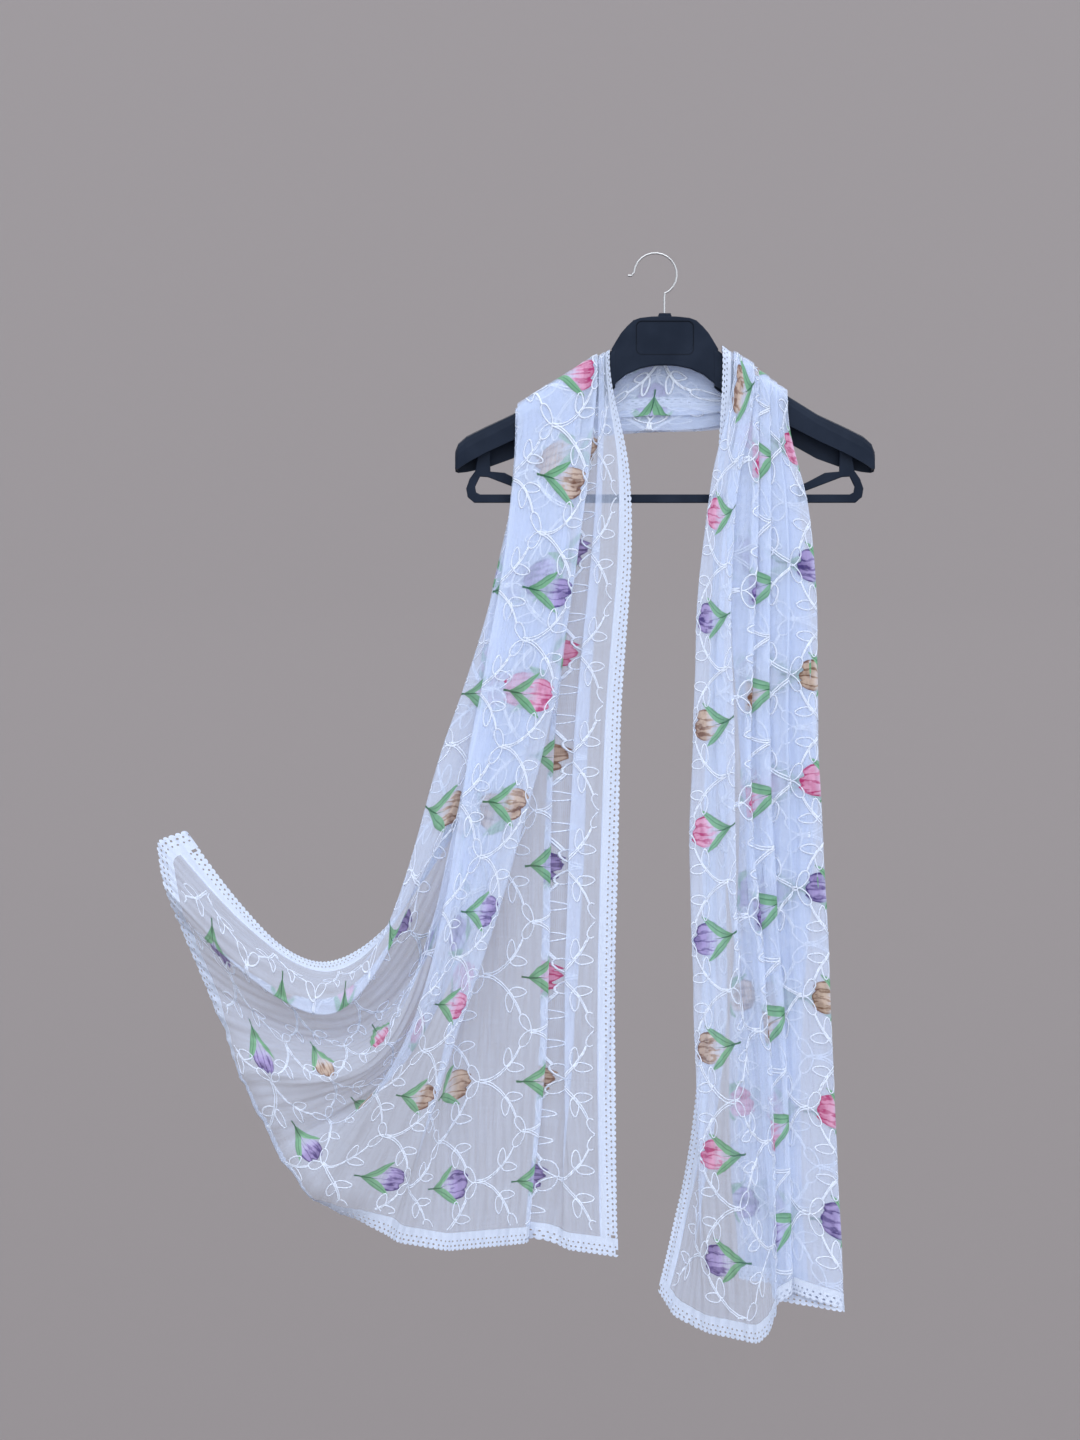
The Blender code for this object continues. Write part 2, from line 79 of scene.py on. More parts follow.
FLOOR_Z = -2.8
FLOOR_FRONT, WALL_BACK = -7.0, 6.0      # metres: both lie outside the ring that any camera stands on
SWEEP_ROUND = 0.5
SWEEP_HALF_WIDTH = 9.5
SWEEP_TOP = 7.0
sweep_line = [(FLOOR_FRONT, FLOOR_Z)]
for step in range(13):
    turn = math.radians(90 * step / 12)
    sweep_line.append((
        WALL_BACK - SWEEP_ROUND * (1 - math.sin(turn)),
        FLOOR_Z + SWEEP_ROUND * (1 - math.cos(turn)),
    ))
sweep_line.append((WALL_BACK, SWEEP_TOP))
sweep_points = [(x, y, z) for y, z in sweep_line for x in (-SWEEP_HALF_WIDTH, SWEEP_HALF_WIDTH)]
sweep_faces = [(2 * k, 2 * k + 1, 2 * k + 3, 2 * k + 2) for k in range(len(sweep_line) - 1)]
backdrop_paper = clean_material("backdrop_paper", (0.263, 0.237, 0.242), 0.95)
backdrop = new_mesh_object("backdrop", sweep_points, sweep_faces, backdrop_paper)
print("backdrop faces", len(sweep_faces))

# %% Light
PLAIN_GREY = (0.352, 0.330, 0.346, 1.0)     # what a camera sees past the backdrop's edges
world = bpy.data.worlds.new("soft_sky")
bpy.context.scene.world = world
world.use_nodes = True
sky = world.node_tree.nodes["Background"]
sky.inputs["Color"].default_value = (0.91, 0.96, 1.0, 1.0)
sky.inputs["Strength"].default_value = 1.04
nodes, links = world.node_tree.nodes, world.node_tree.links
plain_grey = nodes.new("ShaderNodeBackground")
plain_grey.inputs["Color"].default_value = PLAIN_GREY
lit_or_seen = nodes.new("ShaderNodeMixShader")
ray = nodes.new("ShaderNodeLightPath")
links.new(ray.outputs["Is Camera Ray"], lit_or_seen.inputs[0])
links.new(sky.outputs[0], lit_or_seen.inputs[1])
links.new(plain_grey.outputs[0], lit_or_seen.inputs[2])
links.new(lit_or_seen.outputs[0], nodes["World Output"].inputs["Surface"])


def sun(name, strength, spread, tilt, swing):
    """A broad sun, tilted up from the horizon ahead and swung round, in degrees."""
    lamp = bpy.data.lights.new(name, "SUN")
    lamp.energy = strength
    lamp.color = (0.95, 0.98, 1.0)
    lamp.angle = math.radians(spread)
    made = bpy.data.objects.new(name, lamp)
    made.rotation_euler = (math.radians(90 - tilt), 0, math.radians(swing))
    bpy.context.scene.collection.objects.link(made)
    return made


sun("key_light", 1.24, 60, 42, -8)
sun("fill_light", 0.98, 80, 14, 32)

# A weak soft lamp in front of the wall lifts the back of the stole out of the shade.
back_lamp = bpy.data.lights.new("back_light", "AREA")
back_lamp.energy = 34.0
back_lamp.size = 3.5
back_light = bpy.data.objects.new("back_light", back_lamp)
back_light.location = (0.0, 5.2, 1.6)
back_light.rotation_euler = (math.radians(-66), 0, 0)
back_light.visible_camera = False
bpy.context.scene.collection.objects.link(back_light)
print("lights", [lamp.name for lamp in bpy.data.lights])

# %% Camera
VIEW_HEIGHT = 1.512         # metres from the top to the bottom of the view, at the hanger
VIEW_AWAY = 4.5
camera_data = bpy.data.cameras.new("front_view")
camera_data.sensor_width = 36.0
camera_data.lens = 36.0 * VIEW_AWAY / VIEW_HEIGHT
camera = bpy.data.objects.new("front_view", camera_data)
camera.location = (-0.121, -VIEW_AWAY, -0.489)
camera.rotation_euler = (math.radians(90), 0, 0)
bpy.context.scene.collection.objects.link(camera)
bpy.context.scene.camera = camera
bpy.context.scene.view_settings.view_transform = "Standard"
bpy.context.scene.cycles.transparent_max_bounces = 48
print("lens", round(camera_data.lens, 1), "mm")

# %% [markdown]
# ## The cloth's folds
# The stole is one rectangle of chiffon, 0.80 by 2.15 m with its edging. A point on it is named by two
# flat lengths, across and along. Each row below is one fold line, which runs the whole length of a
# hanging stretch: where it lies on the arm, half way down, low down, and at the hem. Between two fold
# lines the cloth is a panel. This is how a draper pins pleats, and it keeps print and thread right,
# because every mark on the cloth is placed by its flat lengths.

# %% Sizes of the cloth
MM = 0.001
CLOTH_WIDTH = 800.0
CLOTH_LENGTH = 2150.0
LACE_WIDTH = 20.0
LEFT_DROP = 955.0       # along the cloth, from the left hem to the top of the left arm
RIGHT_DROP = 1024.0     # along the cloth, from the right hem to the top of the right arm
LAYER = 0.6             # one layer of thin cloth in the stack on an arm
CLEAR = 1.4             # from the hanger to the middle of the nearest layer
FOLD_GAP = 1.4          # between the middles of two layers where they meet in a fold
FOLD_TURN = 1.5         # half the cloth that turns the fold
FOLD_ROUND = 4.5        # how far each side of a fold line the cloth is rounded, high up
HEM_ROUND = 9.0         # and at the hem, where the folds open
CURL_LENGTH = 48.0      # along the cloth, where an edge curls to the back
HANGER_MIDDLE = 10.0    # X of the hanger's middle

# %% Fold lines of the hanging stretches
Fold = namedtuple(
    "Fold",
    "across top_x layer bar_x mid_x mid_y low_x low_z low_y hem_x hem_z hem_y curl",
    defaults=(0.0,),
)

LEFT_FOLDS = (
    Fold(0, -48, 2.2, -28, -36, -7, -42, -836, -10, -39, -1052, -12),
    Fold(60, -60, 3.5, -62, -86, -16, -98, -836, -20, -93, -1043, -22),
    Fold(78, -53, 1.5, -54, -68, -9, -83, -836, -10, -109, -1035, -14),
    Fold(100, -64, 0.8, -76, -112, -5, -127, -836, -8, -142, -1031, -10),
    Fold(112, -60, 2.2, -70, -103, -14, -112, -838, -18, -130, -1035, -24),
    Fold(235, -122, 0, -150, -194, -4, -218, -838, -2, -218, -1046, -8),
    Fold(296, -68, 3.4, -82, -120, -16, -222, -832, -28, -270, -1035, -26),
    Fold(318, -60, 9.0, -69, -113, -38, -206, -819, -44, -280, -1027, -32),
    Fold(416, -146, 10.0, -154, -192, -42, -260, -815, -62, -378, -1014, -30, 0.85),
    Fold(480, -82, 7.8, -86, -128, -33, -268, -855, -16, -416, -944, -10, 1.0),
    Fold(553, -140, 6.7, -152, -190, -30, -300, -844, -46, -450, -853, -14, 0.9),
    Fold(628, -76, 5.6, -82, -130, -23, -320, -819, 4, -472, -767, -10),
    Fold(690, -120, 4.6, -134, -182, -25.5, -344, -777, -36, -503, -692, -22),
    Fold(715, -133, 4.4, -145, -202, -25, -346, -798, -46, -511, -668, -40),
    Fold(735, -148, 3.7, -154, -218, -23, -342, -764, -41, -516, -648, -40),
    Fold(770, -117, 2.6, -126, -184, -19.5, -350, -756, -32, -521, -614, -34),
    Fold(800, -89, 3.8, -98, -154, -16.5, -354, -741, -19, -491, -604, -22),
)
RIGHT_FOLDS = (
    Fold(0, 70, 12.0, 64, 52, -8, 40, -897, 6, 3, -1088, -6),
    Fold(40, 88, 12.6, 76, 74, -20, 66, -899, -20, 18, -1113, -14),
    Fold(82, 82, 15.4, 57, 36, -34, 41, -904, -42, 52, -1129, -26),
    Fold(150, 104, 16.6, 86, 82, -48, 92, -904, -56, 106, -1140, -34),
    Fold(172, 91, 13.6, 74, 62, -36, 103, -901, -42, 118, -1130, -31),
    Fold(212, 109, 12.7, 109, 101, -40, 124, -899, -38, 127, -1106, -27),
    Fold(222, 100, 11.7, 99, 91, -32, 116, -896, -32, 123, -1102, -24),
    Fold(250, 121, 10.8, 122, 121, -34, 140, -888, -30, 147, -1086, -23),
    Fold(266, 107, 9.8, 108, 104, -22, 131, -886, -21, 134, -1086, -15),
    Fold(300, 129, 8.9, 139, 141, -28, 150, -886, -18, 150, -1091, -11),
    Fold(306, 124, 8.0, 133, 135, -20, 154, -887, -17, 155, -1094, -10.5),
    Fold(348, 139, 7.0, 161, 173, -20, 191, -894, -14, 203, -1110, -8),
    Fold(428, 84, 5.9, 74, 88, -15, 110, -888, -9, 121, -1096, -3),
    Fold(508, 134, 4.8, 152, 170, -12, 154, -888, -5, 164, -1088, 4),
    Fold(588, 85, 3.7, 74, 88, -8, 75, -880, -1, 86, -1076, 9),
    Fold(668, 132, 2.6, 150, 168, -5, 150, -880, 3, 154, -1068, 14),
    Fold(736, 88, 1.5, 78, 96, -2, 84, -878, 7, 92, -1066, 18),
    Fold(800, 122, 0.4, 140, 160, 1, 146, -878, 11, 152, -1067, 22),
)
BAR_SHARE, MID_SHARE, LOW_SHARE = 0.12, 0.42, 0.77  # how far down a stretch those figures hold
LEFT_MID_Z, RIGHT_MID_Z = -500.0, -538.0
CURL_TURN = math.radians(125)   # and how far round it goes where curl is one
NECK_GAP = 2.0          # between their ends there and the bunch behind the head
BACK = 14.0             # how far the stretches reach past the top of the arms, down their backs

# %% The bunch behind the head, and the arms under it
Bunch = namedtuple("Bunch", "across left_x left_layer mid_z mid_y right_x right_layer")
NECK_FOLDS = (
    Bunch(0, -98, 3.4, -148, 14.9, 107, 3.4),
    Bunch(66, -128, 2.4, -185, 13.2, 128, 2.4),
    Bunch(100, -108, 1.8, -158, 12.3, 112, 1.8),
    Bunch(118, -118, 0.3, -170, 9.8, 120, 0.3),
    Bunch(178, -62, 3.0, -112, 14.2, 82, 3.0),
    Bunch(262, -138, 7.0, -178, 20.9, 134, 7.0),
    Bunch(350, -64, 8.2, -110, 22.9, 86, 8.2),
    Bunch(440, -144, 9.4, -186, 24.9, 138, 9.4),
    Bunch(530, -66, 10.6, -106, 26.9, 88, 10.6),
    Bunch(620, -146, 11.8, -183, 28.9, 138, 11.8),
    Bunch(710, -68, 13.0, -106, 30.9, 90, 13.0),
    Bunch(800, -138, 14.2, -180, 32.9, 134, 14.2),
)
Arm = namedtuple("Arm", "out top front_low back_low half_depth")
ARMS = (
    Arm(52, -98, -138, -140, 5.0),
    Arm(64, -107, -145, -149, 6.2),
    Arm(98, -129, -163, -174, 8.0),
    Arm(131, -150, -181, -198, 9.5),
    Arm(160, -168, -196, -214, 11.0),
    Arm(188, -181, -209, -224, 12.5),
    Arm(208, -191, -220, -228, 13.0),
    Arm(217, -199, -226, -229, 12.0),
    Arm(220, -207, -226, -228, 9.5),
)
print(len(LEFT_FOLDS), "and", len(RIGHT_FOLDS), "fold lines in front,", len(NECK_FOLDS), "behind")

# %% How a fold line hangs
def column(rows, name):
    return np.array([getattr(row, name) for row in rows], float)


def arm_top(x):
    """Height of the arm's top line at x."""
    return np.interp(np.abs(x - HANGER_MIDDLE), column(ARMS, "out"), column(ARMS, "top"))


def arm_half(x):
    """Half the arm's depth, front to back, at x."""
    return np.interp(np.abs(x - HANGER_MIDDLE), column(ARMS, "out"), column(ARMS, "half_depth"))


def smooth_path(stations, shares, at, first_slope):
    """A cubic curve through the stations, each held at its share, read at the shares in at."""
    stations = np.array(stations, float)
    shares = np.array(shares, float)
    steps = np.diff(stations, axis=0) / np.diff(shares)[:, None]
    slopes = np.empty_like(stations)
    slopes[0] = first_slope
    slopes[-1] = steps[-1]
    for k in range(1, len(stations) - 1):
        before, after = shares[k] - shares[k - 1], shares[k + 1] - shares[k]
        slopes[k] = (steps[k - 1] * after + steps[k] * before) / (before + after)
    slopes[-1] = 1.5 * steps[-1] - 0.5 * slopes[-2]
    piece = np.clip(np.searchsorted(shares, at, side="right") - 1, 0, len(shares) - 2)
    width = shares[piece + 1] - shares[piece]
    u = ((at - shares[piece]) / width)[:, None]
    width = width[:, None]
    return (
        (2 * u ** 3 - 3 * u ** 2 + 1) * stations[piece]
        + (u ** 3 - 2 * u ** 2 + u) * width * slopes[piece]
        + (3 * u ** 2 - 2 * u ** 3) * stations[piece + 1]
        + (u ** 3 - u ** 2) * width * slopes[piece + 1]
    )


def smooth_step(value):
    value = np.clip(value, 0.0, 1.0)
    return value * value * (3 - 2 * value)


def round_arm(x, radius, middle_z, turn):
    """Points over an arm's top, from the front at minus a quarter turn to the back."""
    height = middle_z + radius * np.cos(turn)
    return np.stack([np.full_like(turn, x), radius * np.sin(turn), height], axis=-1)


def hanging(fold, drop, mid_z, down):
    """One fold line of a stretch, at the distances down from the top of the arm."""
    half = float(arm_half(fold.top_x))
    radius = half + CLEAR + fold.layer * LAYER
    middle_z = float(arm_top(fold.top_x)) - half
    bend = math.pi / 2 * radius
    turn = np.clip(down / radius, -math.pi / 2, math.pi / 2)
    over = round_arm(fold.top_x, radius, middle_z, -turn)
    share = np.clip((down - bend) / (drop - bend), 0.0, 1.0)
    at_bar = BAR_SHARE / MID_SHARE
    stations = (
        (fold.top_x, -radius, middle_z),
        (fold.bar_x, (fold.mid_y + radius) * at_bar - radius, (mid_z - middle_z) * at_bar + middle_z),
        (fold.mid_x, fold.mid_y, mid_z),
        (fold.low_x, fold.low_y, fold.low_z),
        (fold.hem_x, fold.hem_y, fold.hem_z),
    )
    shares = (0.0, BAR_SHARE, MID_SHARE, LOW_SHARE, 1.0)
    curl_share = CURL_LENGTH / (drop - bend) if fold.curl else 0.0
    path = smooth_path(stations, shares, np.minimum(share, 1.0 - curl_share), (0.0, 0.0, bend - drop))
    if fold.curl:
        curled = np.clip((share - 1.0) / curl_share + 1.0, 0.0, 1.0) * fold.curl * CURL_TURN
        onward = np.array([fold.hem_x - fold.low_x, 0.0, fold.hem_z - fold.low_z])
        onward *= CURL_LENGTH / (fold.curl * CURL_TURN) / np.linalg.norm(onward)
        sideways = np.array([0.0, np.linalg.norm(onward), 0.0])
        path += np.sin(curled)[:, None] * onward + (1 - np.cos(curled))[:, None] * sideways
    return np.where((down < bend)[:, None], over, path)


def behind(row, share):
    """One fold line of the bunch behind the head, from the left arm's back to the right arm's."""
    middle = np.array([HANGER_MIDDLE, row.mid_y, row.mid_z])
    halves = []
    for arm_x, layer, side in ((row.left_x, row.left_layer, 1.0), (row.right_x, row.right_layer, -1.0)):
        half = float(arm_half(arm_x))
        radius = half + CLEAR + layer * LAYER
        middle_z = float(arm_top(arm_x)) - half
        turn = np.linspace((BACK + NECK_GAP) / radius, math.pi / 2, 5)
        over = round_arm(arm_x, radius, middle_z, turn)
        gap = np.linalg.norm(middle - over[-1])
        lead_in = np.array([side * 0.55, 0, -0.6]) * gap
        lead_out = np.array([side, 0, 0]) * gap * 1.1
        step = np.linspace(0, 1, 15)[1:, None]
        curve = (
            (2 * step ** 3 - 3 * step ** 2 + 1) * over[-1]
            + (step ** 3 - 2 * step ** 2 + step) * lead_in
            + (3 * step ** 2 - 2 * step ** 3) * middle
            + (step ** 3 - step ** 2) * lead_out
        )
        halves.append(np.concatenate([over, curve]))
    path = np.concatenate([halves[0], halves[1][-2::-1]])
    length = np.concatenate([[0], np.cumsum(np.linalg.norm(np.diff(path, axis=0), axis=1))])
    return np.stack([np.interp(share * length[-1], length, path[:, k]) for k in range(3)], axis=-1)


def fold_lines(stretch, along):
    """Every fold line of a stretch: its place across the flat cloth, and in the room at each along."""
    if stretch == "left":
        rows = LEFT_FOLDS
        lines = [hanging(fold, LEFT_DROP, LEFT_MID_Z, LEFT_DROP - along) for fold in rows]
    elif stretch == "right":
        rows = RIGHT_FOLDS
        down = along - (CLOTH_LENGTH - RIGHT_DROP)
        lines = [hanging(fold, RIGHT_DROP, RIGHT_MID_Z, down) for fold in rows]
    else:
        rows = NECK_FOLDS
        first, last = LEFT_DROP + BACK, CLOTH_LENGTH - RIGHT_DROP - BACK
        lines = [behind(row, (along - first) / (last - first)) for row in rows]
    return opened(column(rows, "across"), np.stack(lines), along)


def openness(along):
    """How far the folds have opened: nothing half way up a hanging stretch, and one at its hem."""
    left = smooth_step((LEFT_DROP * 0.5 - along) / (LEFT_DROP * 0.5))
    right = smooth_step((along - CLOTH_LENGTH + RIGHT_DROP * 0.5) / (RIGHT_DROP * 0.5))
    return left + right


def opened(place, lines, along):
    """Each sharp fold line made two, a little apart, so that its layers lie side by side."""
    gap = (FOLD_GAP * (1 + openness(along)))[:, None]
    places, paths = [place[0]], [lines[0]]
    for k in range(1, len(place) - 1):
        comes = lines[k] - lines[k - 1]
        goes = lines[k + 1] - lines[k]
        comes /= np.linalg.norm(comes, axis=1)[:, None]
        goes /= np.linalg.norm(goes, axis=1)[:, None]
        turn = np.sum(comes * goes, axis=1)[:, None]
        apart = goes - turn * comes
        apart /= np.maximum(np.linalg.norm(apart, axis=1)[:, None], 0.01)
        shift = apart * gap / 2 * smooth_step((0.3 - turn) / 0.6)
        places += [place[k] - FOLD_TURN, place[k] + FOLD_TURN]
        paths += [lines[k] - shift, lines[k] + shift]
    return np.array([*places, place[-1]]), np.stack([*paths, lines[-1]])


def cloth_points(stretch, across, along):
    """The cloth's middle surface: a grid of points for the given flat lengths, folds rounded."""
    along = np.asarray(along, float)
    across = np.asarray(across, float)
    place, lines = fold_lines(stretch, along)
    reach = FOLD_ROUND + (HEM_ROUND - FOLD_ROUND) * openness(along)
    grid = np.zeros((len(across), len(along), 3))
    offsets = np.linspace(-1.0, 1.0, 11)
    for j in range(len(along)):
        for offset in offsets:
            at = across + offset * reach[j]
            inside = np.clip(at, 0.0, CLOTH_WIDTH)
            mirror = 2 * inside - at
            for k in range(3):
                read = np.interp(inside, place, lines[:, j, k])
                back = np.interp(mirror, place, lines[:, j, k])
                grid[:, j, k] += (2 * read - back) / len(offsets)
    return grid * MM
print("left hem's corner", cloth_points("left", [0.0, 20.0], [0.0])[0, 0])

# %% [markdown]
# ## Fine sheets of chiffon
# Real chiffon is limp and a little crimped, so each panel has low ripples that run with the folds and
# wander as they go. They are soft sines of a few lengths, shallow on the arms, where the cloth is
# pressed flat, and deeper towards the hem. Simulated cloth would move the marks away from the folds
# that are seen, so the ripples are listed instead.

# %% Ripples
Ripple = namedtuple("Ripple", "pitch depth wander drift")
RIPPLES = (
    Ripple(11.5, 0.90, 1.9, 240.0),
    Ripple(17.0, 0.50, 2.4, 290.0),
    Ripple(29.0, 0.60, 3.1, 410.0),
    Ripple(47.0, 0.80, 2.2, 530.0),
    Ripple(83.0, 0.80, 1.7, 620.0),
)


def ripple_height(across, along, stretch):
    """How far the cloth stands off its panel, in millimetres, over a grid of flat lengths."""
    away = {"left": LEFT_DROP - along, "right": along - (CLOTH_LENGTH - RIGHT_DROP)}
    free = smooth_step((away.get(stretch, np.full_like(along, 90.0)) - 20.0) / 320.0)
    total = np.zeros((len(across), len(along)))
    for number, ripple in enumerate(RIPPLES):
        sway = ripple.wander * np.sin(along / ripple.drift * 2 * math.pi + 1.7 * number)
        swell = 0.62 + 0.38 * np.sin(along / (ripple.drift * 0.63) + across[:, None] / 97.0 + number)
        wave = np.sin(2 * math.pi * across[:, None] / ripple.pitch + sway[None, :])
        total += ripple.depth * wave * swell
    return total * (0.14 + 0.86 * free)[None, :]


# %% Fine grids of the three stretches
LEFT_END = LEFT_DROP + BACK
RIGHT_START = CLOTH_LENGTH - RIGHT_DROP - BACK
STRETCHES = {"left": (0.0, LEFT_END), "neck": (LEFT_END, RIGHT_START), "right": (RIGHT_START, CLOTH_LENGTH)}
STEP_ACROSS = 2.0
STEP_ALONG = {"left": 4.2, "neck": 1.6, "right": 4.2}
Sheet = namedtuple("Sheet", "across along points normals")


def fine_sheet(stretch):
    """A close grid of one whole stretch, edging and all, with the cloth's normal at each point."""
    first, last = STRETCHES[stretch]
    across = np.linspace(0.0, CLOTH_WIDTH, int(round(CLOTH_WIDTH / STEP_ACROSS)) + 1)
    along = np.linspace(first, last, int(round((last - first) / STEP_ALONG[stretch])) + 1)
    points = cloth_points(stretch, across, along)
    normals = np.cross(np.gradient(points, axis=0), np.gradient(points, axis=1))
    normals /= np.maximum(np.linalg.norm(normals, axis=2), 1e-12)[:, :, None]
    points = points + normals * (ripple_height(across, along, stretch) * MM)[:, :, None]
    normals = np.cross(np.gradient(points, axis=0), np.gradient(points, axis=1))
    normals /= np.maximum(np.linalg.norm(normals, axis=2), 1e-12)[:, :, None]
    return Sheet(across, along, points, normals)


sheets = {stretch: fine_sheet(stretch) for stretch in STRETCHES}
for stretch, sheet in sheets.items():
    one = np.linalg.norm(np.diff(sheet.points, axis=0), axis=2)[:, :-1]
    two = np.linalg.norm(np.diff(sheet.points, axis=1), axis=2)[:-1]
    flat = CLOTH_WIDTH * (sheet.along[-1] - sheet.along[0]) * MM * MM
    print(stretch, sheet.points.shape[:2], "area share", round(float((one * two).sum() / flat), 3))


# %% Placing a mark on the cloth
def on_cloth(stretch, across, along, lift=0.0):
    """Points in the room for flat lengths on one stretch, lifted off the cloth by lift in metres."""
    sheet = sheets[stretch]
    i = np.interp(across, sheet.across, np.arange(len(sheet.across)))
    j = np.interp(along, sheet.along, np.arange(len(sheet.along)))
    low_i = np.minimum(i.astype(int), len(sheet.across) - 2)
    low_j = np.minimum(j.astype(int), len(sheet.along) - 2)
    u, v = (i - low_i)[:, None], (j - low_j)[:, None]
    total = 0.0
    for table, share in ((sheet.points, 1.0), (sheet.normals, np.broadcast_to(lift, len(u))[:, None])):
        read = (
            table[low_i, low_j] * (1 - u) * (1 - v) + table[low_i + 1, low_j] * u * (1 - v)
            + table[low_i, low_j + 1] * (1 - u) * v + table[low_i + 1, low_j + 1] * u * v
        )
        total = total + read * share
    return total


print("a mark", on_cloth("left", np.array([100.0]), np.array([300.0])))

# %% [markdown]
# ## The chiffon's finish
# Chiffon is an open weave of fine crimped yarn. One layer lets half the view through, and layers in a
# fold add up to white. A see-through shader with a share of cover in its alpha does this, and it adds
# up by itself where layers lie behind each other. The weave and the slubs of the yarn vary the cover.
# Every pattern is worked out from the flat lengths, kept on the mesh as a UV map in metres.

# %% Helpers for shader nodes
def value_node(tree, operation, first, second=None, third=None, clamp=False):
    """One Math node. An input is a number or another node's output."""
    made = tree.nodes.new("ShaderNodeMath")
    made.operation = operation
    made.use_clamp = clamp
    for socket, value in zip(made.inputs, (first, second, third)):
        if isinstance(value, (int, float)):
            socket.default_value = value
        elif value is not None:
            tree.links.new(value, socket)
    return made.outputs[0]


def plus(tree, first, second, clamp=False):
    return value_node(tree, "ADD", first, second, clamp=clamp)


def minus(tree, first, second):
    return value_node(tree, "SUBTRACT", first, second)


def times(tree, first, second, clamp=False):
    return value_node(tree, "MULTIPLY", first, second, clamp=clamp)


def ramp_between(tree, low, high, value):
    """0 at or below low, 1 at or above high, smooth between."""
    made = tree.nodes.new("ShaderNodeMapRange")
    made.interpolation_type = "SMOOTHSTEP"
    for name, number in (("Value", value), ("From Min", low), ("From Max", high)):
        if isinstance(number, (int, float)):
            made.inputs[name].default_value = number
        else:
            tree.links.new(number, made.inputs[name])
    return made.outputs["Result"]


def blend_colour(tree, share, first, second):
    """first where share is 0, second where it is 1. A colour is three numbers or an output."""
    made = tree.nodes.new("ShaderNodeMix")
    made.data_type = "RGBA"
    for socket, value in ((made.inputs[0], share), (made.inputs[6], first), (made.inputs[7], second)):
        if isinstance(value, tuple):
            socket.default_value = (*value, 1.0)
        elif isinstance(value, (int, float)):
            socket.default_value = value
        else:
            tree.links.new(value, socket)
    return made.outputs[2]


def noise(tree, where, scale, detail=2.0):
    made = tree.nodes.new("ShaderNodeTexNoise")
    made.inputs["Scale"].default_value = scale
    made.inputs["Detail"].default_value = detail
    tree.links.new(where, made.inputs["Vector"])
    return made.outputs[0]


def stretched(tree, where, scales):
    """The place multiplied by a scale along each axis."""
    made = tree.nodes.new("ShaderNodeVectorMath")
    made.operation = "MULTIPLY"
    made.inputs[1].default_value = scales
    tree.links.new(where, made.inputs[0])
    return made.outputs[0]


def flat_lengths(tree):
    """The cloth's own place in metres, and its two flat lengths in millimetres."""
    source = tree.nodes.new("ShaderNodeUVMap")
    source.uv_map = "flat"
    parts = tree.nodes.new("ShaderNodeSeparateXYZ")
    tree.links.new(source.outputs[0], parts.inputs[0])
    across = times(tree, parts.outputs[0], 1000.0)
    along = times(tree, parts.outputs[1], 1000.0)
    return source.outputs[0], across, along


# %% [markdown]
# ## The printed tulips
# The print is a common tulip sprig, 66 mm long: two green leaves cup a striped bloom. It repeats every
# 117.6 mm across and 111 mm along the cloth, and its rows take purple, tan and pink in turn. It is drawn
# in the shader from simple outlines in the motif's own millimetres, reach from the stem towards the
# petals, and side from its middle line, so that it stays sharp at any distance.

# %% The tulip's outlines
PRINT_ACROSS, PRINT_ALONG = 117.6, 111.0
FIRST_TIP, FIRST_ROW = 84.0, 74.0
SPRIG_LENGTH = 66.0
Dye = namedtuple("Dye", "pale deep")
DYES = (
    Dye((0.46, 0.38, 0.72), (0.045, 0.022, 0.150)),
    Dye((0.66, 0.52, 0.44), (0.135, 0.056, 0.031)),
    Dye((0.78, 0.45, 0.66), (0.370, 0.016, 0.125)),
)
LEAF_PALE, LEAF_DEEP = (0.170, 0.380, 0.230), (0.020, 0.110, 0.050)


LEAF_START, LEAF_LENGTH, LEAF_LONGER = 7.0, 37.0, 8.0     # millimetres from the sprig's foot
LEAF_SPLAY, LEAF_HALF = 23.5, 6.0
BLOOM_START, BLOOM_LENGTH, BLOOM_HALF = 19.0, 50.0, 16.8
BLOOM_TIP, PETAL_WIDE = 56.0, 11.0


def sprig_place(tree, where, across, along):
    """reach and side in a sprig's own millimetres, a little uneven, and the number of its row."""
    wobble = noise(tree, where, 30.0, 3.0)
    uneven = times(tree, minus(tree, wobble, 0.5), 7.0)
    from_tip = value_node(tree, "FLOORED_MODULO", minus(tree, across, FIRST_TIP), PRINT_ACROSS)
    reach = plus(tree, minus(tree, SPRIG_LENGTH, from_tip), uneven)
    rows = value_node(tree, "DIVIDE", minus(tree, along, FIRST_ROW), PRINT_ALONG)
    row = value_node(tree, "ROUND", rows)
    side = times(tree, minus(tree, rows, row), PRINT_ALONG)
    side = minus(tree, side, uneven)
    return reach, side, row


